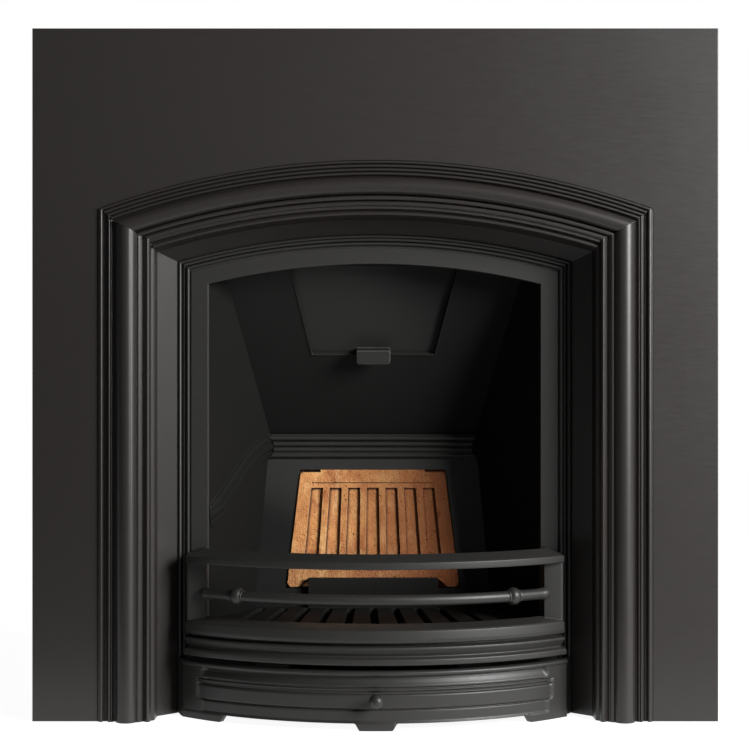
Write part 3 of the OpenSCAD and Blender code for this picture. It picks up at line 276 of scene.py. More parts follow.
def iron(name, dark, light, wear_and_highlight, gloss, grain_mm, edge_mm, specular=0.5, metal=0.0):
    """A material with its own tones, roughness, depth of grain, width of rubbed arrises and shine."""
    material = bpy.data.materials.new(name)
    material.use_nodes = True
    t = material.node_tree
    shader = t.nodes["Principled BSDF"]
    shader.inputs["Specular IOR Level"].default_value = specular
    shader.inputs["Metallic"].default_value = metal
    cast = t.nodes.new("ShaderNodeGroup")
    cast.node_tree = sand_cast
    cast.inputs["Dark"].default_value = (*dark, 1)
    cast.inputs["Light"].default_value = (*light, 1)
    cast.inputs["Wear And Highlight"].default_value = (*wear_and_highlight, 1)
    cast.inputs["Gloss"].default_value = gloss
    cast.inputs["Edge Width"].default_value = edge_mm / 1000
    bump = t.nodes.new("ShaderNodeBump")
    bump.inputs["Distance"].default_value = grain_mm / 1000
    t.links.new(cast.outputs["Base Color"], shader.inputs["Base Color"])
    t.links.new(cast.outputs["Roughness"], shader.inputs["Roughness"])
    t.links.new(cast.outputs["Height"], bump.inputs["Height"])
    t.links.new(cast.outputs["Normal"], bump.inputs["Normal"])
    t.links.new(bump.outputs[0], shader.inputs["Normal"])
    return material


def stand_in(name, mesh, material, finish, body, *cad_nodes):
    """A finer mesh that takes the place of CAD nodes and moves with their body."""
    obj = bpy.data.objects.new(name, mesh)
    scene.collection.objects.link(obj)
    mesh.materials.clear()
    mesh.materials.append(material)
    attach(obj, body)
    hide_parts(*cad_nodes)
    return obj


def finish_mesh(edit, name, angle=32):
    """Closes a bmesh into a mesh whose soft edges are smooth and whose arrises stay sharp."""
    bmesh.ops.remove_doubles(edit, verts=edit.verts, dist=1e-6)
    bmesh.ops.recalc_face_normals(edit, faces=edit.faces)
    if edit.calc_volume(signed=True) < 0:
        bmesh.ops.reverse_faces(edit, faces=edit.faces)
    mesh = bpy.data.meshes.new(name)
    edit.to_mesh(mesh)
    edit.free()
    mesh.shade_smooth()
    mesh.set_sharp_from_angle(angle=math.radians(angle))
    return mesh


plate_iron = iron("plate_iron", (0.0185, 0.0157, 0.0144), (0.0252, 0.0215, 0.0197), (0.078, 0.070, 0.064),
                  0.385, 0.055, 0.8, 0.58)
MM = 1000.0  # mm in a metre, since the shapes are drawn in mm


def point(edit, x, depth, z):
    """A vertex from mm: across, back from the plate's face, and up from the hearth."""
    return edit.verts.new((x / MM, plate_front + depth / MM, z / MM))


def swept(edit, lines):
    """Skins the lines that the corners of a closed section draw, and closes both ends."""
    for a, b in zip(lines, lines[1:] + lines[:1]):
        for k in range(len(a) - 1):
            edit.faces.new((a[k], a[k + 1], b[k + 1], b[k]))
    for k in (0, -1):
        edit.faces.new([line[k] for line in lines])


def stacked(edit, rings):
    """Skins closed rings one after the other, and closes both ends."""
    for a, b in zip(rings, rings[1:]):
        for k in range(len(a)):
            n = (k + 1) % len(a)
            edit.faces.new((a[k], a[n], b[n], b[k]))
    edit.faces.new(rings[0])
    edit.faces.new(rings[-1])


def bead(middle, base, r, steps, first):
    """Points over a half round, with or without its two ends."""
    angles = [math.pi * (1 - k / steps) for k in range(first, steps + 1 - first)]
    return [(middle + r * math.cos(a), base + r * math.sin(a)) for a in angles]


# the arch's outer line: half its width, its radius and its height, and the radius's centre
arch_half, arch_r, crown = 391.0, 1150.0, 790.0
arch_mid = crown - arch_r


def arch_sweep(edit, profile, stations=120):
    """Sweeps a closed profile of (inset on the legs, on the arch, height on the legs, on the arch)."""
    lines = []
    for leg_in, arch_in, leg_out, arch_out in profile:
        x = arch_half - leg_in
        r = arch_r - arch_in
        top = arch_mid + math.sqrt(r * r - x * x)
        end = math.asin(x / r)
        line = [(-x, 0.0, leg_out), (-x, top - 0.3, leg_out)]
        for k in range(stations + 1):
            a = end * (2 * k / stations - 1)
            line.append((r * math.sin(a), arch_mid + r * math.cos(a), arch_out))
        line += [(x, top - 0.3, leg_out), (x, 0.0, leg_out)]
        lines.append([point(edit, px, -out, pz) for px, pz, out in line])
    swept(edit, lines)


def height_at(ground, rounds, p):
    """Height of a stepped ground with round members on it, at one inset."""
    top = -50.0
    for (p0, y0), (p1, y1) in zip(ground, ground[1:]):
        if p0 <= p <= p1:
            top = max(top, y0 + (y1 - y0) * (p - p0) / (p1 - p0 + 1e-9))
    for middle, base, r in rounds:
        if abs(p - middle) <= r:
            top = max(top, base + math.sqrt(r * r - (p - middle) ** 2))
    return top


def places(ground, rounds):
    """Insets at which the outline needs a point."""
    found = [i * 0.5 for i in range(int(ground[-1][0] * 2) + 1)] + [p for p, _ in ground]
    for middle, _, r in rounds:
        found += [middle + r * math.cos(math.pi * i / 20) for i in range(21)]
    return found


def carried(p, pairs, back=False):
    """The inset on the arch that meets an inset on the legs at the mitre, or the other way."""
    for (a0, b0), (a1, b1) in zip(pairs, pairs[1:]):
        if back:
            a0, b0, a1, b1 = b0, a0, b1, a1
        if a0 <= p <= a1:
            return b0 + (b1 - b0) * (p - a0) / (a1 - a0)
    return p


# the mouldings as (inset, height) of a stepped ground, and (inset, base, radius) of the rounds on it
arch_ground = [
    (0, 0), (0.7, -2.0), (1.3, 1.4), (5.2, 2.6), (6.0, -0.4), (6.8, 2.8), (10.8, 3.6), (11.6, 0.6),
    (12.4, 3.8), (16.4, 4.6), (17.2, 1.4), (18.0, 4.8), (22.0, 5.2), (23.4, 1.0), (25.4, 4.0),
    (48.8, 2.0), (49.8, -2.4), (50.8, 2.4), (56.6, 2.4), (57.6, -1.6), (58.6, 1.4), (64.6, 1.5),
    (65.6, 0.4), (68.6, 0.8), (71.2, -7.0), (72.6, -5.6), (77.0, -6.0), (78.2, -10), (79.5, -14)]
arch_rounds = [(3.2 + i * 5.6, 2.3 + i * 1.1, 2.0) for i in range(4)]
arch_rounds += [(37, 4.5, 12.0), (53.6, 3.4, 3.1), (61.6, 2.2, 3.1), (74.9, -5.2, 2.4)]
leg_ground = [
    (0, 0), (0.6, -1.6), (1.2, 1.5), (3.0, 1.6), (7.8, 0.8), (8.4, -2.0), (13.4, -2.0), (15.4, 2.6),
    (18.9, 2.8), (19.4, 2.8), (20.2, 4.6), (21.2, 4.4), (23.0, 1.2), (25.8, 0.2), (54.6, 0.2),
    (55.2, 1.6), (61.0, 4.0), (62.4, 3.4), (63.8, 0.2), (64.6, 0.4), (70.0, 5.0), (71.2, 5.2),
    (73.2, 3.4), (74.2, 0.4), (75.2, -5.0), (77.5, -7), (79.5, -9)]
leg_rounds = [(5.6, 2.2, 2.3), (10.9, -2.6, 1.8), (17.1, 3.2, 1.9), (41.2, 0.6, 15.2), (57.8, 2.9, 3.5)]
# insets on the legs, each with the inset on the arch that it meets at the mitre
mitred = [(0, 0), (5.4, 3.2), (20.6, 20), (22.5, 24.5), (41.2, 37), (54.2, 49.8), (57.8, 53.6),
          (64.2, 58.3), (70.5, 61.6), (73.6, 64.9), (75.5, 70), (79.5, 79.5)]
insets = places(arch_ground, arch_rounds) + [carried(p, mitred) for p in places(leg_ground, leg_rounds)]
insets.sort()
moulding_wide, plate_thick = 79.5, 8.0
profile = [(0.0, 0.0, -plate_thick, -plate_thick)]
for p in insets:
    if 0 <= p <= moulding_wide and (len(profile) == 1 or p - profile[-1][1] > 0.05):
        on_leg = carried(p, mitred, True)
        leg_out = height_at(leg_ground, leg_rounds, on_leg)
        profile.append((on_leg, p, leg_out, height_at(arch_ground, arch_rounds, p)))
# the return, the splay, and the back of both up to the plate again
profile += [(a, b, y, y) for a, b, y in (
    (80.5, 80.5, -39.0), (107.0, 100.5, -64.0), (107.0, 100.5, -68.0), (83.0, 76.5, -68.0),
    (71.5, 71.5, -49.0), (71.5, 71.5, -16.0), (61.5, 61.5, -8.0))]
edit = bmesh.new()
arch_sweep(edit, profile)
# the plate: columns from the arch's line to its top edge, with a small arris all round
plate_half, plate_top, hole_half, hole_r = 482.5, 975.0, 390.9, 1149.9
columns = [(-plate_half, 0.0), (-hole_half, 0.0)]
spans = 96
for k in range(spans + 1):
    x = hole_half * (2 * k / spans - 1)
    columns.append((x, arch_mid + math.sqrt(hole_r ** 2 - x * x)))
columns += [(hole_half, 0.0), (plate_half, 0.0)]
arris = 0.8
sheets = []
for depth, trim in ((0.0, arris), (arris, 0.0), (plate_thick, 0.0)):
    low, high = [], []
    for x, z in columns:
        px = max(-plate_half + trim, min(plate_half - trim, x))
        pz = z + (trim if z == 0 else 0)
        low.append(point(edit, px, depth, pz))
        high.append(point(edit, px, depth, plate_top - trim))
    sheets.append((low, high))
for low, high in (sheets[0], sheets[2]):
    for k in range(2, len(columns) - 3):
        edit.faces.new((low[k], low[k + 1], high[k + 1], high[k]))
    edit.faces.new((low[0], low[1], low[2], high[1], high[0]))
    edit.faces.new((low[-1], high[-1], high[-2], low[-3], low[-2]))
for (low_a, high_a), (low_b, high_b) in zip(sheets, sheets[1:]):
    for k in range(len(columns) - 1):
        edit.faces.new((high_a[k], high_a[k + 1], high_b[k + 1], high_b[k]))
        edit.faces.new((low_a[k], low_b[k], low_b[k + 1], low_a[k + 1]))
    for k in (0, -1):
        edit.faces.new((low_a[k], high_a[k], high_b[k], low_b[k]))
# four round bosses on the back, each for one screw of the wall lugs
lug_x, lug_heights, boss_sides = 437, (160, 820), 48
for sx in (-lug_x, lug_x):
    for z in lug_heights:
        rings = []
        for depth, r in ((7, 13.6), (8.6, 13), (15.4, 13), (16, 12.4)):
            turns = [2 * math.pi * k / boss_sides for k in range(boss_sides)]
            rings.append([point(edit, sx + r * math.cos(a), depth, z + r * math.sin(a)) for a in turns])
        stacked(edit, rings)
mesh = finish_mesh(edit, "front_plate")
stand_in("front_plate", mesh, plate_iron, "cast_iron", "fireplace", "surround")


# ---- inner frame ----
# A flat arched frame screwed behind the splay. It has three beads along its outer edge and a plain
# face, and it carries the hooks for the front bars and the brackets for the bottom grate.
def frame_profile():
    """The frame's section: its beads, its plain face and its back, on the legs and on the arch."""
    legs = [(-22.0, -75.0), (-22.0, -68.0), (0.3, -68.0), (0.8, -64.5)]
    arch = list(legs)
    for outline, beads in ((legs, ((3.5, -63.6, 2.4), (9.4, -67.2, 2.2), (15.2, -63.4, 2.2))),
                           (arch, ((2.4, -63.4, 2.0), (7.0, -63.4, 2.2), (12.7, -63.4, 2.2)))):
        for middle, base, r in beads:
            outline.append((middle - r - 0.5, base - 4.6 + 0.4 * r))
            outline += bead(middle, base, r, 12, 0)
    legs += [(17.7, -67.6), (19.0, -67.2), (19.7, -65.0), (43.7, -65.0), (44.5, -65.8), (44.5, -75.0)]
    arch += [(15.4, -67.4), (18.2, -67.2), (19.2, -65.0), (41.2, -65.0), (42.0, -65.8), (42.0, -75.0)]
    return [(107.0 + a, 100.5 + c, b, d) for (a, b), (c, d) in zip(legs, arch)]


def box_into(edit, x0, x1, d0, d1, z0, z1, soft=0.8):
    """A block with soft arrises, in mm: x across, d back from the plate's face, z up."""
    corners = bmesh.ops.create_cube(edit, size=1.0)["verts"]
    middle = Vector((x0 + x1, d0 + d1, z0 + z1)) / 2
    for v in corners:
        reach = Vector((v.co.x * (x1 - x0), v.co.y * (d1 - d0), v.co.z * (z1 - z0)))
        v.co = (middle + reach) / MM + Vector((0, plate_front, 0))
    edges = list({e for v in corners for e in v.link_edges})
    bmesh.ops.bevel(edit, geom=edges, offset=soft / MM, segments=2, affect="EDGES", profile=0.6)


bar_iron = iron("bar_iron", (0.0180, 0.0175, 0.0162), (0.0260, 0.0252, 0.0235), (0.090, 0.087, 0.082),
                0.46, 0.08, 0.8, 0.5)
edit = bmesh.new()
arch_sweep(edit, frame_profile())
post_outer, post_wide, hook_half = 269.0, 28.5, 3.75
bracket_x, bracket_half = 225.0, 15.0
post_mid = post_outer - post_wide / 2
for s in (-1, 1):
    # a hook's arm and its upturned tip behind each post, and a bracket under the grate
    box_into(edit, s * post_mid - hook_half, s * post_mid + hook_half, 45, 66, 180, 200)
    box_into(edit, s * post_mid - hook_half, s * post_mid + hook_half, 45, 51, 199, 207)
    box_into(edit, s * bracket_x - bracket_half, s * bracket_x + bracket_half, 47, 75, 105, 121)
mesh = finish_mesh(edit, "inner_frame")
stand_in("inner_frame", mesh, bar_iron, "cast_iron", "fireplace", "inner_frame")


# ---- cheeks ----
# The two side plates of the firebox, each cast with a flange down its edges for the bolts and a
# moulded band that climbs from the front edge to the shelf, with a ledge for the grate at its foot.
frame_back, open_half, shelf_half, shelf_d = 75.0, 239.5, 158.0, 243.0
shelf_z, knee_z, cheek_top = 396.0, 150.0, 660.0
slope = (open_half - shelf_half) / (shelf_d - frame_back)
back_lean, throat_lean = math.tan(math.radians(9.65)), math.tan(math.radians(27.6))
knee_d = shelf_d - (shelf_z - knee_z) * back_lean
throat_top = shelf_d - (cheek_top - shelf_z) * throat_lean
cheek_thick, flange_out, ledge_low, ledge_top = 8.0, 39.0, 112.9, 120.9
band_low, band_high, band_stations = 281.0, 377.5, 48


def band_section():
    """The band's section: a large round between two pairs of beads."""
    section = [(-17.5, -0.5), (-17.5, 3.2)]
    for middle, base, r in ((-15.0, 2.6, 2.4), (-9.6, 5.0, 3.0)):
        section += bead(middle, base, r, 8, 1)
    section += [(-6.4, 6.2), (-4.5, 8.6)]
    for k in range(2, 9):
        section.append((6.6 * math.cos(math.pi * (1 - k / 10)), 5.2 + 5.2 * math.sin(math.pi * k / 10)))
    section += [(6.2, 7.0), (7.4, 6.4)]
    for middle, base, r in ((9.8, 5.0, 3.0), (15.0, 2.6, 2.4)):
        section += bead(middle, base, r, 8, 1)
    return section + [(17.5, 3.2), (17.5, -0.5)]


def cheek_mesh(side):
    """One cheek, with its flanges, its ledge for the grate and its band."""
    edit = bmesh.new()
    run = math.hypot(1, slope)
    along = Vector((-slope, 1.0, 0)) / run
    inward = Vector((-1.0, -slope, 0)) / run

    def at(s, out, z):
        spot = Vector((open_half, frame_back, 0)) + along * s + inward * out
        return point(edit, side * spot.x, spot.y, z)

    def slab(outline, near, far):
        """A flat outline of (distance back, height) between two distances from the cheek's face."""
        stacked(edit, [[at((d - frame_back) * run, out, z) for d, z in outline] for out in (near, far)])

    slab([(frame_back, 0), (knee_d, 0), (knee_d, knee_z), (shelf_d, shelf_z), (throat_top, cheek_top),
          (frame_back, cheek_top)], 0.0, -cheek_thick)
    # flanges round the outside: front, back, throat
    for d0, d1, z0, z1, wide in ((frame_back + 8, frame_back + 8, 0, cheek_top, 8),
                                 (knee_d, knee_d, 0, knee_z, 8),
                                 (knee_d, shelf_d, knee_z, shelf_z, 8.1),
                                 (shelf_d, throat_top, shelf_z, cheek_top, 9)):
        slab([(d0 - wide, z0), (d0, z0), (d1, z1), (d1 - wide, z1)], 0.1 - cheek_thick, -flange_out)
    # ledge for the grate
    slab([(frame_back + 11, ledge_low), (knee_d, ledge_low), (knee_d, ledge_top),
          (frame_back + 11, ledge_top)], 14.0, -1.0)
    # the band: its section swept along the climbing line, thin where it starts at the front
    length = (shelf_d - frame_back) * run

    def climb(s):
        s = min(1.0, max(0.0, s))
        eased = 3 * s * s - 2 * s ** 3
        return band_low + (band_high - band_low) * (eased + math.sin(math.pi / 2 * s)) / 2

    section = band_section()
    rings = []
    for k in range(band_stations + 1):
        s = k / band_stations
        rise = (climb(s + 0.01) - climb(s - 0.01)) / ((min(1, s + 0.01) - max(0, s - 0.01)) * length)
        lie = math.hypot(1, rise)
        fade = 0.12 + 0.88 * min(1.0, s / 0.14) ** 0.7
        ring = []
        for off, out in section:
            d = min(length, max(0.0, s * length - off * rise / lie))
            ring.append(at(d, out * fade, climb(s) + off / lie))
        rings.append(ring)
    stacked(edit, rings)
    return edit


# On the side that faces the fire, the iron's tone is scaled by one factor: darker on the cheeks and throat,
# a little lighter on the fireback. Over it lies matt near-black painted shade that thickens one way.
fire_side_tone_and_painted_shade = bpy.data.node_groups.new("fire_side_tone_and_painted_shade", "ShaderNodeTree")
for label, kind in (("Base Color", "NodeSocketColor"), ("Roughness", "NodeSocketFloat"),
                    ("Fire Side Tone", "NodeSocketFloat"), ("Way", "NodeSocketVector"),
                    ("Clear", "NodeSocketFloat"), ("Thick", "NodeSocketFloat"),
                    ("Most", "NodeSocketFloat")):
    fire_side_tone_and_painted_shade.interface.new_socket(label, in_out="INPUT", socket_type=kind)
for label, kind in (("Base Color", "NodeSocketColor"), ("Roughness", "NodeSocketFloat")):
    fire_side_tone_and_painted_shade.interface.new_socket(label, in_out="OUTPUT", socket_type=kind)
g = fire_side_tone_and_painted_shade.nodes
gl = fire_side_tone_and_painted_shade.links
group_in = g.new("NodeGroupInput")
group_out = g.new("NodeGroupOutput")
place = g.new("ShaderNodeTexCoord")
turned = g.new("ShaderNodeNewGeometry")
to_fire = g.new("ShaderNodeVectorMath")
to_fire.operation = "SUBTRACT"
to_fire.inputs[0].default_value = (0.0, 0.02, 0.30)
toward = g.new("ShaderNodeVectorMath")
toward.operation = "DOT_PRODUCT"
gl.new(place.outputs["Object"], to_fire.inputs[1])
gl.new(turned.outputs["Normal"], toward.inputs[0])
gl.new(to_fire.outputs[0], toward.inputs[1])
inside = spread(toward.outputs["Value"], 0.0, 0.02)
fire_side_toned = g.new("ShaderNodeMix")
fire_side_toned.data_type = "RGBA"
fire_side_toned.blend_type = "MULTIPLY"
gl.new(inside, fire_side_toned.inputs["Factor"])
gl.new(group_in.outputs["Base Color"], fire_side_toned.inputs["A"])
gl.new(group_in.outputs["Fire Side Tone"], fire_side_toned.inputs["B"])
along = g.new("ShaderNodeVectorMath")
along.operation = "DOT_PRODUCT"
gl.new(place.outputs["Object"], along.inputs[0])
gl.new(group_in.outputs["Way"], along.inputs[1])
shade_ramp = g.new("ShaderNodeMapRange")
shade_ramp.interpolation_type = "SMOOTHSTEP"
gl.new(along.outputs["Value"], shade_ramp.inputs["Value"])
gl.new(group_in.outputs["Clear"], shade_ramp.inputs["From Min"])
gl.new(group_in.outputs["Thick"], shade_ramp.inputs["From Max"])
gl.new(group_in.outputs["Most"], shade_ramp.inputs["To Max"])
# painted shade: near-black laid on the fire side as far as the ramp along the way reaches
laid = blend("MULTIPLY", shade_ramp.outputs[0], inside)
black = tint(laid, fire_side_toned.outputs["Result"], (0.0030, 0.0030, 0.0028, 1))
gl.new(black, group_out.inputs["Base Color"])
matt = g.new("ShaderNodeMath")
matt.operation = "MULTIPLY_ADD"
matt.inputs[1].default_value = 0.35
matt.use_clamp = True
gl.new(laid, matt.inputs[0])
gl.new(group_in.outputs["Roughness"], matt.inputs[2])
gl.new(matt.outputs[0], group_out.inputs["Roughness"])


def paint_shade(material, fire_side_tone, way, clear, thick, most):
    """Lays painted shade over an iron, thickening from clear to thick along the given way, and scales the
    iron's tone on its side that faces the fire.
    """
    t = material.node_tree
    shader = t.nodes["Principled BSDF"]
    shade_node = t.nodes.new("ShaderNodeGroup")
    shade_node.node_tree = fire_side_tone_and_painted_shade
    shade_node.inputs["Fire Side Tone"].default_value = fire_side_tone
    shade_node.inputs["Way"].default_value = way
    shade_node.inputs["Clear"].default_value = clear
    shade_node.inputs["Thick"].default_value = thick
    shade_node.inputs["Most"].default_value = most
    for label in ("Base Color", "Roughness"):
        t.links.new(shader.inputs[label].links[0].from_socket, shade_node.inputs[label])
        t.links.new(shade_node.outputs[label], shader.inputs[label])
    return material


cheek_iron = iron("cheek_iron", (0.0150, 0.0145, 0.0135), (0.0270, 0.0262, 0.0245), (0.072, 0.069, 0.066),
                  0.74, 0.14, 0.8, 0.17)
# painted shade: the right cheek goes near-black nearly all over, the left one towards its foot
paint_shade(cheek_iron, 0.31, (1, 0, -0.6), -0.50, -0.18, 0.8)
for side, name in ((-1, "left_cheek"), (1, "right_cheek")):
    edit = cheek_mesh(side)
    mesh = finish_mesh(edit, name + "_casting", 40)
    stand_in(name + "_casting", mesh, cheek_iron, "cast_iron", "fireplace", name)


# ---- fireback and throat plate ----
# The back plate frames the brick and carries a reeded shelf; the throat plate leans forward above it
# and has the raised rim of the flue opening. Both are flat castings bolted to the cheeks.
def dress(material, *names):
    for name in names:
        mesh = nodes[name].data
        mesh.materials.clear()
        mesh.materials.append(material)
        for face in mesh.polygons:
            face.material_index = 0


back_iron = iron("fireback_iron", (0.0155, 0.0152, 0.0140), (0.0250, 0.0245, 0.0230), (0.060, 0.058, 0.055),
                 0.52, 0.16, 0.9, 0.32)
# painted shade: the fireback goes near-black towards its foot, reaching higher on its left side
paint_shade(back_iron, 1.1, (-0.35, 0, -1), -0.30, -0.20, 0.9)
# The light arris tone here is rubbed wear and a painted highlight along the rim of the flue opening.
throat_iron = iron("throat_iron", (0.0150, 0.0145, 0.0135), (0.0270, 0.0262, 0.0245), (0.200, 0.192, 0.180),
                   0.56, 0.18, 1.0, 0.28)
# painted shade: the throat plate goes near-black towards its right side
paint_shade(throat_iron, 0.29, (1, 0, 0.25), 0.02, 0.30, 0.8)
dress(back_iron, "fireback")
dress(throat_iron, "throat_plate")


# ---- damper flap ----
# A flat cast flap on a steel pin. It leans on the throat plate by its own weight, and a drooping tab
# with a turned-down lip lets it be pushed open with the poker.
# The light arris tone here is rubbed wear and a painted highlight along the flap's edges.
flap_iron = iron("flap_iron", (0.0135, 0.0135, 0.0125), (0.0215, 0.0212, 0.0198), (0.220, 0.214, 0.200),
                 0.52, 0.14, 2.4, 0.40)
# painted shadow: the flap goes near-black towards its upper right corner
paint_shade(flap_iron, 1.0, (1, 0, 0.6), 0.32, 0.48, 0.9)
dress(flap_iron, "damper_flap")
# its arrises are cast rounder than those of the plates
soft = nodes["damper_flap"].modifiers.new("cast_arris", "BEVEL")
soft.width = 0.0012
soft.segments = 3
soft.limit_method = "ANGLE"
soft.angle_limit = math.radians(40)


# ---- firebrick ----
# One moulded brick of fired clay with seven sunk flutes. Dry, open-grained and orange, with small pits,
# iron specks and rubbed corners. Its colour carries painted shade: dark red-brown towards its right side,
# a brown painted shadow of the top rail across its foot, and dark painted shade in the corners of its
# flutes.
clay_group = bpy.data.node_groups.new("fired_clay", "ShaderNodeTree")
for label, kind in (("Base Color", "NodeSocketColor"), ("Roughness", "NodeSocketFloat"),
                    ("Height", "NodeSocketFloat"), ("Normal", "NodeSocketVector")):
    clay_group.interface.new_socket(label, in_out="OUTPUT", socket_type=kind)
g = clay_group.nodes
gl = clay_group.links
group_out = g.new("NodeGroupOutput")
place = g.new("ShaderNodeTexCoord")
cloud = noise(22, 5, 0.62)
blotch = noise(60, 4, 0.6, (1, 1, 0.6))
crumb = noise(260, 4, 0.7)
speck = noise(520, 2, 0.5)
drag = noise(120, 3, 0.6, (1, 1, 0.12))
deep_orange, orange = (0.50, 0.170, 0.050, 1), (0.93, 0.440, 0.150, 1)
pale, buff, crust = (1.0, 0.58, 0.23, 1), (0.74, 0.44, 0.22, 1), (0.21, 0.075, 0.028, 1)
iron_speck, pit_brown, bare = (0.07, 0.035, 0.02, 1), (0.13, 0.05, 0.02, 1), (0.72, 0.40, 0.19, 1)
rail_shadow_brown, painted_crease_shade = (0.10, 0.052, 0.026, 1), (0.035, 0.015, 0.008, 1)
painted_shade_red = (0.23, 0.060, 0.013, 1)
tone = tint(spread(cloud, 0.35, 0.65), deep_orange, orange)
tone = tint(spread(blotch, 0.52, 0.72, 0.0, 0.75), tone, pale)
tone = tint(spread(drag, 0.60, 0.72, 0.0, 0.4), tone, buff)
tone = tint(spread(crumb, 0.62, 0.70, 0.0, 0.65), tone, crust)
tone = tint(spread(speck, 0.70, 0.74, 0.0, 0.8), tone, iron_speck)
pits = spread(noise(180, 3, 0.6), 0.64, 0.72)
tone = tint(blend("MULTIPLY", pits, 0.7), tone, pit_brown)
soft_normal, rub = rubbed_arris(0.0016, 0.985, 0.86)
tone = tint(blend("MULTIPLY", rub, 0.55), tone, bare)
level = g.new("ShaderNodeSeparateXYZ")
gl.new(place.outputs["Object"], level.inputs[0])
# painted shadow: the top rail's shadow laid across the brick's foot as a brown tint
ragged = blend("ADD", level.outputs["Z"], blend("MULTIPLY", cloud, 0.03))
painted_rail_shadow = spread(ragged, 0.236, 0.212, 0.0, 0.35)
tone = tint(painted_rail_shadow, tone, rail_shadow_brown)
# painted shade: dark in the corners and creases of the flutes, found by occlusion
crease_occlusion = g.new("ShaderNodeAmbientOcclusion")
crease_occlusion.samples = 8
crease_occlusion.inputs["Distance"].default_value = 0.005
tone = tint(spread(crease_occlusion.outputs["AO"], 0.96, 0.62, 0.0, 0.97), tone, painted_crease_shade)
# painted shade: dark red-brown towards the brick's right side, with a ragged edge
ragged = blend("ADD", level.outputs["X"], blend("MULTIPLY", cloud, 0.10))
painted_shade_right = spread(ragged, -0.01, 0.15, 0.0, 0.92)
tone = tint(painted_shade_right, tone, painted_shade_red)
gl.new(tone, group_out.inputs["Base Color"])
gl.new(spread(crumb, 0.3, 0.7, 0.36, 0.72), group_out.inputs["Roughness"])
height = blend("ADD", blend("MULTIPLY", crumb, 0.7), blend("MULTIPLY", speck, 0.25))
height = blend("ADD", height, blend("MULTIPLY", cloud, 0.8))
gl.new(blend("SUBTRACT", height, blend("MULTIPLY", pits, 0.6)), group_out.inputs["Height"])
gl.new(soft_normal, group_out.inputs["Normal"])
clay = bpy.data.materials.new("fired_clay")
clay.use_nodes = True
tree = clay.node_tree
shader = tree.nodes["Principled BSDF"]
shader.inputs["Specular IOR Level"].default_value = 0.40
fired = tree.nodes.new("ShaderNodeGroup")
fired.node_tree = clay_group
bump = tree.nodes.new("ShaderNodeBump")
bump.inputs["Distance"].default_value = 0.0030
tree.links.new(fired.outputs["Base Color"], shader.inputs["Base Color"])
tree.links.new(fired.outputs["Roughness"], shader.inputs["Roughness"])
tree.links.new(fired.outputs["Height"], bump.inputs["Height"])
tree.links.new(fired.outputs["Normal"], bump.inputs["Normal"])
tree.links.new(bump.outputs[0], shader.inputs["Normal"])
dress(clay, "firebrick")


# ---- front bars ----
# One casting: a square top rail, a deep moulded lower rail with a rounded lip, and two flat posts that
# bear on the inner frame. The rails are bowed in plan and return square at their ends.
bow_r, bow_half, bow_y, bars_back = 412.0, post_outer, 339.0, 60.7


def bow_sweep(edit, section, r, half, end_depth, stations=96):
    """Sweeps a closed section of (distance out, height) round the bow and back along its ends."""
    lines = []
    for out, z in section:
        radius, x = r + out, half + out
        end = math.asin(x / radius)
        line = [(-x, end_depth)]
        for k in range(stations + 1):
            a = end * (2 * k / stations - 1)
            line.append((radius * math.sin(a), bow_y - radius * math.cos(a)))
        line.append((x, end_depth))
        lines.append([point(edit, px, d, z) for px, d in line])
    swept(edit, lines)


def rounded(points, radii, steps=5):
    """A closed outline with its corners rounded by the given radii."""
    out = []
    n = len(points)
    for i, r in enumerate(radii):
        p, a, b = Vector(points[i]), Vector(points[i - 1]), Vector(points[(i + 1) % n])
        if not r:
            out.append(tuple(p))
            continue
        u, v = (a - p).normalized(), (b - p).normalized()
        reach = min(r / max(0.2, math.tan(u.angle(v) / 2)), 0.49 * (a - p).length, 0.49 * (b - p).length)
        for k in range(steps + 1):
            t = k / steps
            spot = (p + u * reach) * (1 - t) ** 2 + p * 2 * t * (1 - t) + (p + v * reach) * t * t
            out.append(tuple(spot))
    return out


edit = bmesh.new()
top_rail = rounded([(-26, 220.5), (0, 220.5), (0, 230), (-2, 231.5), (-24, 240), (-26, 240)],
                   [1, 1.8, 1.2, 1.5, 2, 1])
bow_sweep(edit, top_rail, bow_r, bow_half, bars_back)
foot = 89.5
low_rail = rounded(
    [(-26, foot + 0.5), (1.6, foot + 0.5), (3.2, foot + 1.8), (3.2, foot + 8), (2.2, foot + 9.4),
     (-5.6, foot + 11.8), (-2.8, foot + 16.0), (-0.2, foot + 20.6), (1.0, foot + 21.4), (1.0, foot + 25.2),
     (-9, foot + 27), (-9, foot + 29.8), (0, foot + 31), (0.6, foot + 36), (0, 136.5), (-2, 138.5),
     (-24, 144), (-26, 144)],
    [1, 1.2, 1.2, 2, 2, 2, 3, 1.2, 1.9, 1.9, 1.2, 1, 1.2, 6, 1.4, 1.6, 1.5, 1])
bow_sweep(edit, low_rail, bow_r, bow_half, bars_back)
post_front = bow_y - math.sqrt(bow_r ** 2 - bow_half ** 2) + 1
post_inner, post_foot, post_head = 240.5, 138.5, 221.5
plan = rounded([(post_inner, 60.3), (post_inner, post_front), (268.5, post_front), (268.5, 60.3)],
               [0, 1.2, 4.5, 0], 8)
for s in (-1, 1):
    stacked(edit, [[point(edit, s * x, d, z) for x, d in plan] for z in (post_foot, post_head)])
    box_into(edit, *sorted((s * 241.5, s * 265.0)), 56, 64.7, post_foot, post_head, 0.6)
mesh = finish_mesh(edit, "bars_casting", 38)
stand_in("bars_casting", mesh, bar_iron, "cast_iron", "bars", "front_bars")


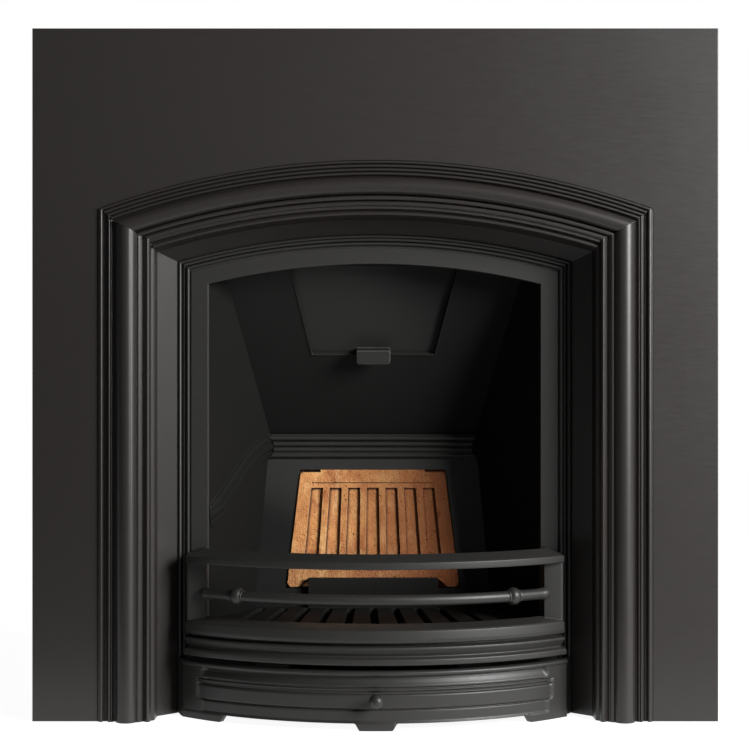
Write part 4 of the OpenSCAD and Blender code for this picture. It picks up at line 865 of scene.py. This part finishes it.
# ---- middle bar ----
# A thin round rod bent to the bow, with a turned bead near each end and bullet-shaped tips that are
# set into the posts.
middle_r, middle_z, rod_r, bead_x = bow_r - 13.0, 177.5, 7.75, 193
tip_x = post_outer - post_wide + 10.5
tip_at = math.asin((tip_x - 12) / middle_r) * middle_r
bead_at = math.asin(bead_x / middle_r) * middle_r
half_line = {0.0: rod_r}
for k in range(0, 40):
    half_line[k * (bead_at - 14) / 40] = rod_r
half_bead = ((10, rod_r), (9.9, 9.0), (8.4, 9.1), (8.0, 8.7), (7.2, 9.3), (6.5, 10.0), (5.4, 10.9),
             (4.0, 11.7), (2.2, 12.2), (0, 12.3))
for off, r in half_bead:
    half_line[bead_at - off] = half_line[bead_at + off] = r
for off, r in ((-8, rod_r), (-6, 7.8), (-3.5, 8.4), (0, 8.6), (2, 8.6), (4, 8.2), (6, 7.5), (8, 6.2),
               (9.6, 4.7), (10.8, 3.2), (11.6, 1.7), (12, 0.3)):
    half_line[tip_at + off] = r
line = sorted(half_line.items())
line = [(-s, r) for s, r in reversed(line)] + line[1:]
edit = bmesh.new()
rod_sides = 32
rings = []
for s, r in line:
    a = s / middle_r
    ring = []
    for k in range(rod_sides):
        b = 2 * math.pi * k / rod_sides
        out = middle_r + r * math.cos(b)
        ring.append(point(edit, out * math.sin(a), bow_y - out * math.cos(a), middle_z + r * math.sin(b)))
    rings.append(ring)
stacked(edit, rings)
mesh = finish_mesh(edit, "bent_rod", 50)
stand_in("bent_rod", mesh, bar_iron, "cast_iron", "bars", "middle_bar")


# ---- bottom grate ----
# A flat casting with long slots that fan out to the bow, and an upright lip behind that keeps the fire
# off the foot of the brick. It lies loose on the cheeks' ledges and the frame's brackets.
grate_iron = iron("grate_iron", (0.0085, 0.0085, 0.0080), (0.0140, 0.0138, 0.0132), (0.050, 0.048, 0.045),
                  0.70, 0.10, 0.8, 0.12)
dress(grate_iron, "bottom_grate")


# ---- ash cover ----
# A thin bowed casting that stands on three feet under the bars. Between its plain ends the face is
# moulded: a bead along the top, a hollow, a sunk panel with rounded corners and a shallow lower band.
cover_r, cover_half, cover_top, cover_end = 407.0, 273.5, 82.0, 60.7


def ease(t):
    t = min(1.0, max(0.0, t))
    return t * t * (3 - 2 * t)


# heights on the face and how far it stands out there
cover_line = [
    (0, 0), (11, 0), (12, -0.6), (13.5, -1.4), (26, -1.4), (27.4, -1.8), (28.0, -4.2), (29.0, -4.2),
    (30.4, -1.6), (47.5, -1.6), (49.4, -2.6), (50.4, -5.0), (53.2, -5.0), (54.4, -2.0), (56.6, -1.6),
    (57.4, -3.6), (58.8, -3.6), (60.0, -0.6), (62.0, -0.6), (65.0, -2.4), (69.0, -4.2), (73.5, -5.0),
    (74.4, -4.0), (74.6, -1.4)]
bead_foot, bead_r, panel_low, panel_high, panel_top, corner_r = 74.6, 3.6, 28.5, 53.5, 58.5, 6


def cover_face(x, z):
    """How far the face stands out at a distance along the bow and a height."""
    out = 0.0
    for (z0, y0), (z1, y1) in zip(cover_line, cover_line[1:]):
        if z0 <= z < z1:
            out = y0 + (y1 - y0) * (z - z0) / (z1 - z0)
    if z >= bead_foot:
        out = -0.9
        middle = cover_top - 3.7
        if abs(z - middle) < bead_r:
            out = max(out, -1.4 + math.sqrt(bead_r ** 2 - (z - middle) ** 2))
        return out
    # the mouldings die into the plain ends, the sunk panel with round corners
    half = 247.0 if z < panel_low else 254.5 if z < panel_top else 246.0
    low, high = (panel_low, panel_high) if z < panel_top else (panel_top, bead_foot)
    near = min(z - low, high - z)
    if 0 <= near < corner_r and z > panel_low:
        half -= corner_r - math.sqrt(corner_r ** 2 - (corner_r - near) ** 2)
    return out * ease(0.5 - (abs(x) - half + 3) / 6.0)


middle_foot, side_foot, foot_gap, foot_turn = 26.0, 215.0, 10.0, 6.0


def hem(x):
    """Height of the lower edge: 10 mm up, and down to the floor at the three feet."""
    reach = min(abs(x) - middle_foot, side_foot - abs(x))
    return foot_gap * min(1.0, max(0.0, (reach + foot_turn / 2) / foot_turn))


end = math.asin(cover_half / cover_r)
count = 360
bow_line = [cover_r * math.sin(end * (2 * k / count - 1)) for k in range(count + 1)]
heights = [12 + 0.7 * i for i in range(0, 90)] + [75 + 0.5 * i for i in range(0, 15)]
wall = -8.0
edit = bmesh.new()
front, back = [], []
for x in [-cover_half] + bow_line + [cover_half]:
    is_end = len(front) in (0, len(bow_line) + 1)
    side = math.copysign(1.0, x)
    hem_z = hem(x)
    column_f, column_b = [], []
    for z in [hem_z + (12 - hem_z) * i / 6 for i in range(6)] + heights:
        out = cover_face(x, z)
        if z < 11 and hem_z < 5:
            out = max(out, 0.9)
        for column, off in ((column_f, out), (column_b, wall)):
            radius = cover_r + off
            if is_end:
                # both sheets are laid outwards here, so the inner one crosses the outer one
                column.append(point(edit, side * (cover_half + abs(off)), cover_end, z))
                continue
            if abs(abs(x) - cover_half) < 1e-6:
                a = side * math.asin((cover_half + off) / radius)
            else:
                a = side * math.asin(min(1.0, abs(x) / cover_r))
            column.append(point(edit, radius * math.sin(a), bow_y - radius * math.cos(a), z))
    front.append(column_f)
    back.append(column_b)
for grid in (front, back):
    for a, b in zip(grid, grid[1:]):
        for k in range(len(a) - 1):
            edit.faces.new((a[k], a[k + 1], b[k + 1], b[k]))
for a, b, c, d in zip(front, front[1:], back, back[1:]):
    edit.faces.new((a[0], b[0], d[0], c[0]))
    edit.faces.new((a[-1], b[-1], d[-1], c[-1]))
for k in (0, -1):
    for j in range(len(front[k]) - 1):
        edit.faces.new((front[k][j], front[k][j + 1], back[k][j + 1], back[k][j]))
mesh = finish_mesh(edit, "cover_casting", 40)
stand_in("cover_casting", mesh, bar_iron, "cast_iron", "cover", "ash_cover")


# ---- cover knob ----
# A small turned iron ball on a short neck. Its stud goes through the cover, and a nut holds it from
# behind.
dress(bar_iron, "cover_knob")


# ---- steel fittings ----
# Zinc plated steel screws, bolts, nuts, clips, the damper's pin and the straps that hold the plate to
# the wall: rolled and turned stock gone dull, brighter where a spanner has slipped.
steel = iron("fitting_steel", (0.15, 0.15, 0.155), (0.23, 0.23, 0.235), (0.34, 0.34, 0.345),
             0.40, 0.03, 0.4, 0.5, 0.85)
fittings = ("damper_pin", "brick_clips", "clip_screws", "knob_nut", "wall_lugs", "lug_screws",
            "frame_screws", "cheek_screws", "lintel_screws", "throat_bolts", "throat_nuts", "back_bolts",
            "back_nuts", "shelf_bolts", "shelf_nuts")
dress(steel, *fittings)


# ---- ash pan ----
# Steel sheet, folded up at its four sides and painted black, with a turned rim. A strap handle is
# riveted to its front. It stands loose on the hearth behind the cover.
pan_paint = iron("pan_paint", (0.022, 0.022, 0.023), (0.032, 0.032, 0.033), (0.16, 0.155, 0.15),
                 0.42, 0.03, 0.6)
dress(pan_paint, "ash_pan", "pan_handle", "pan_rivets")
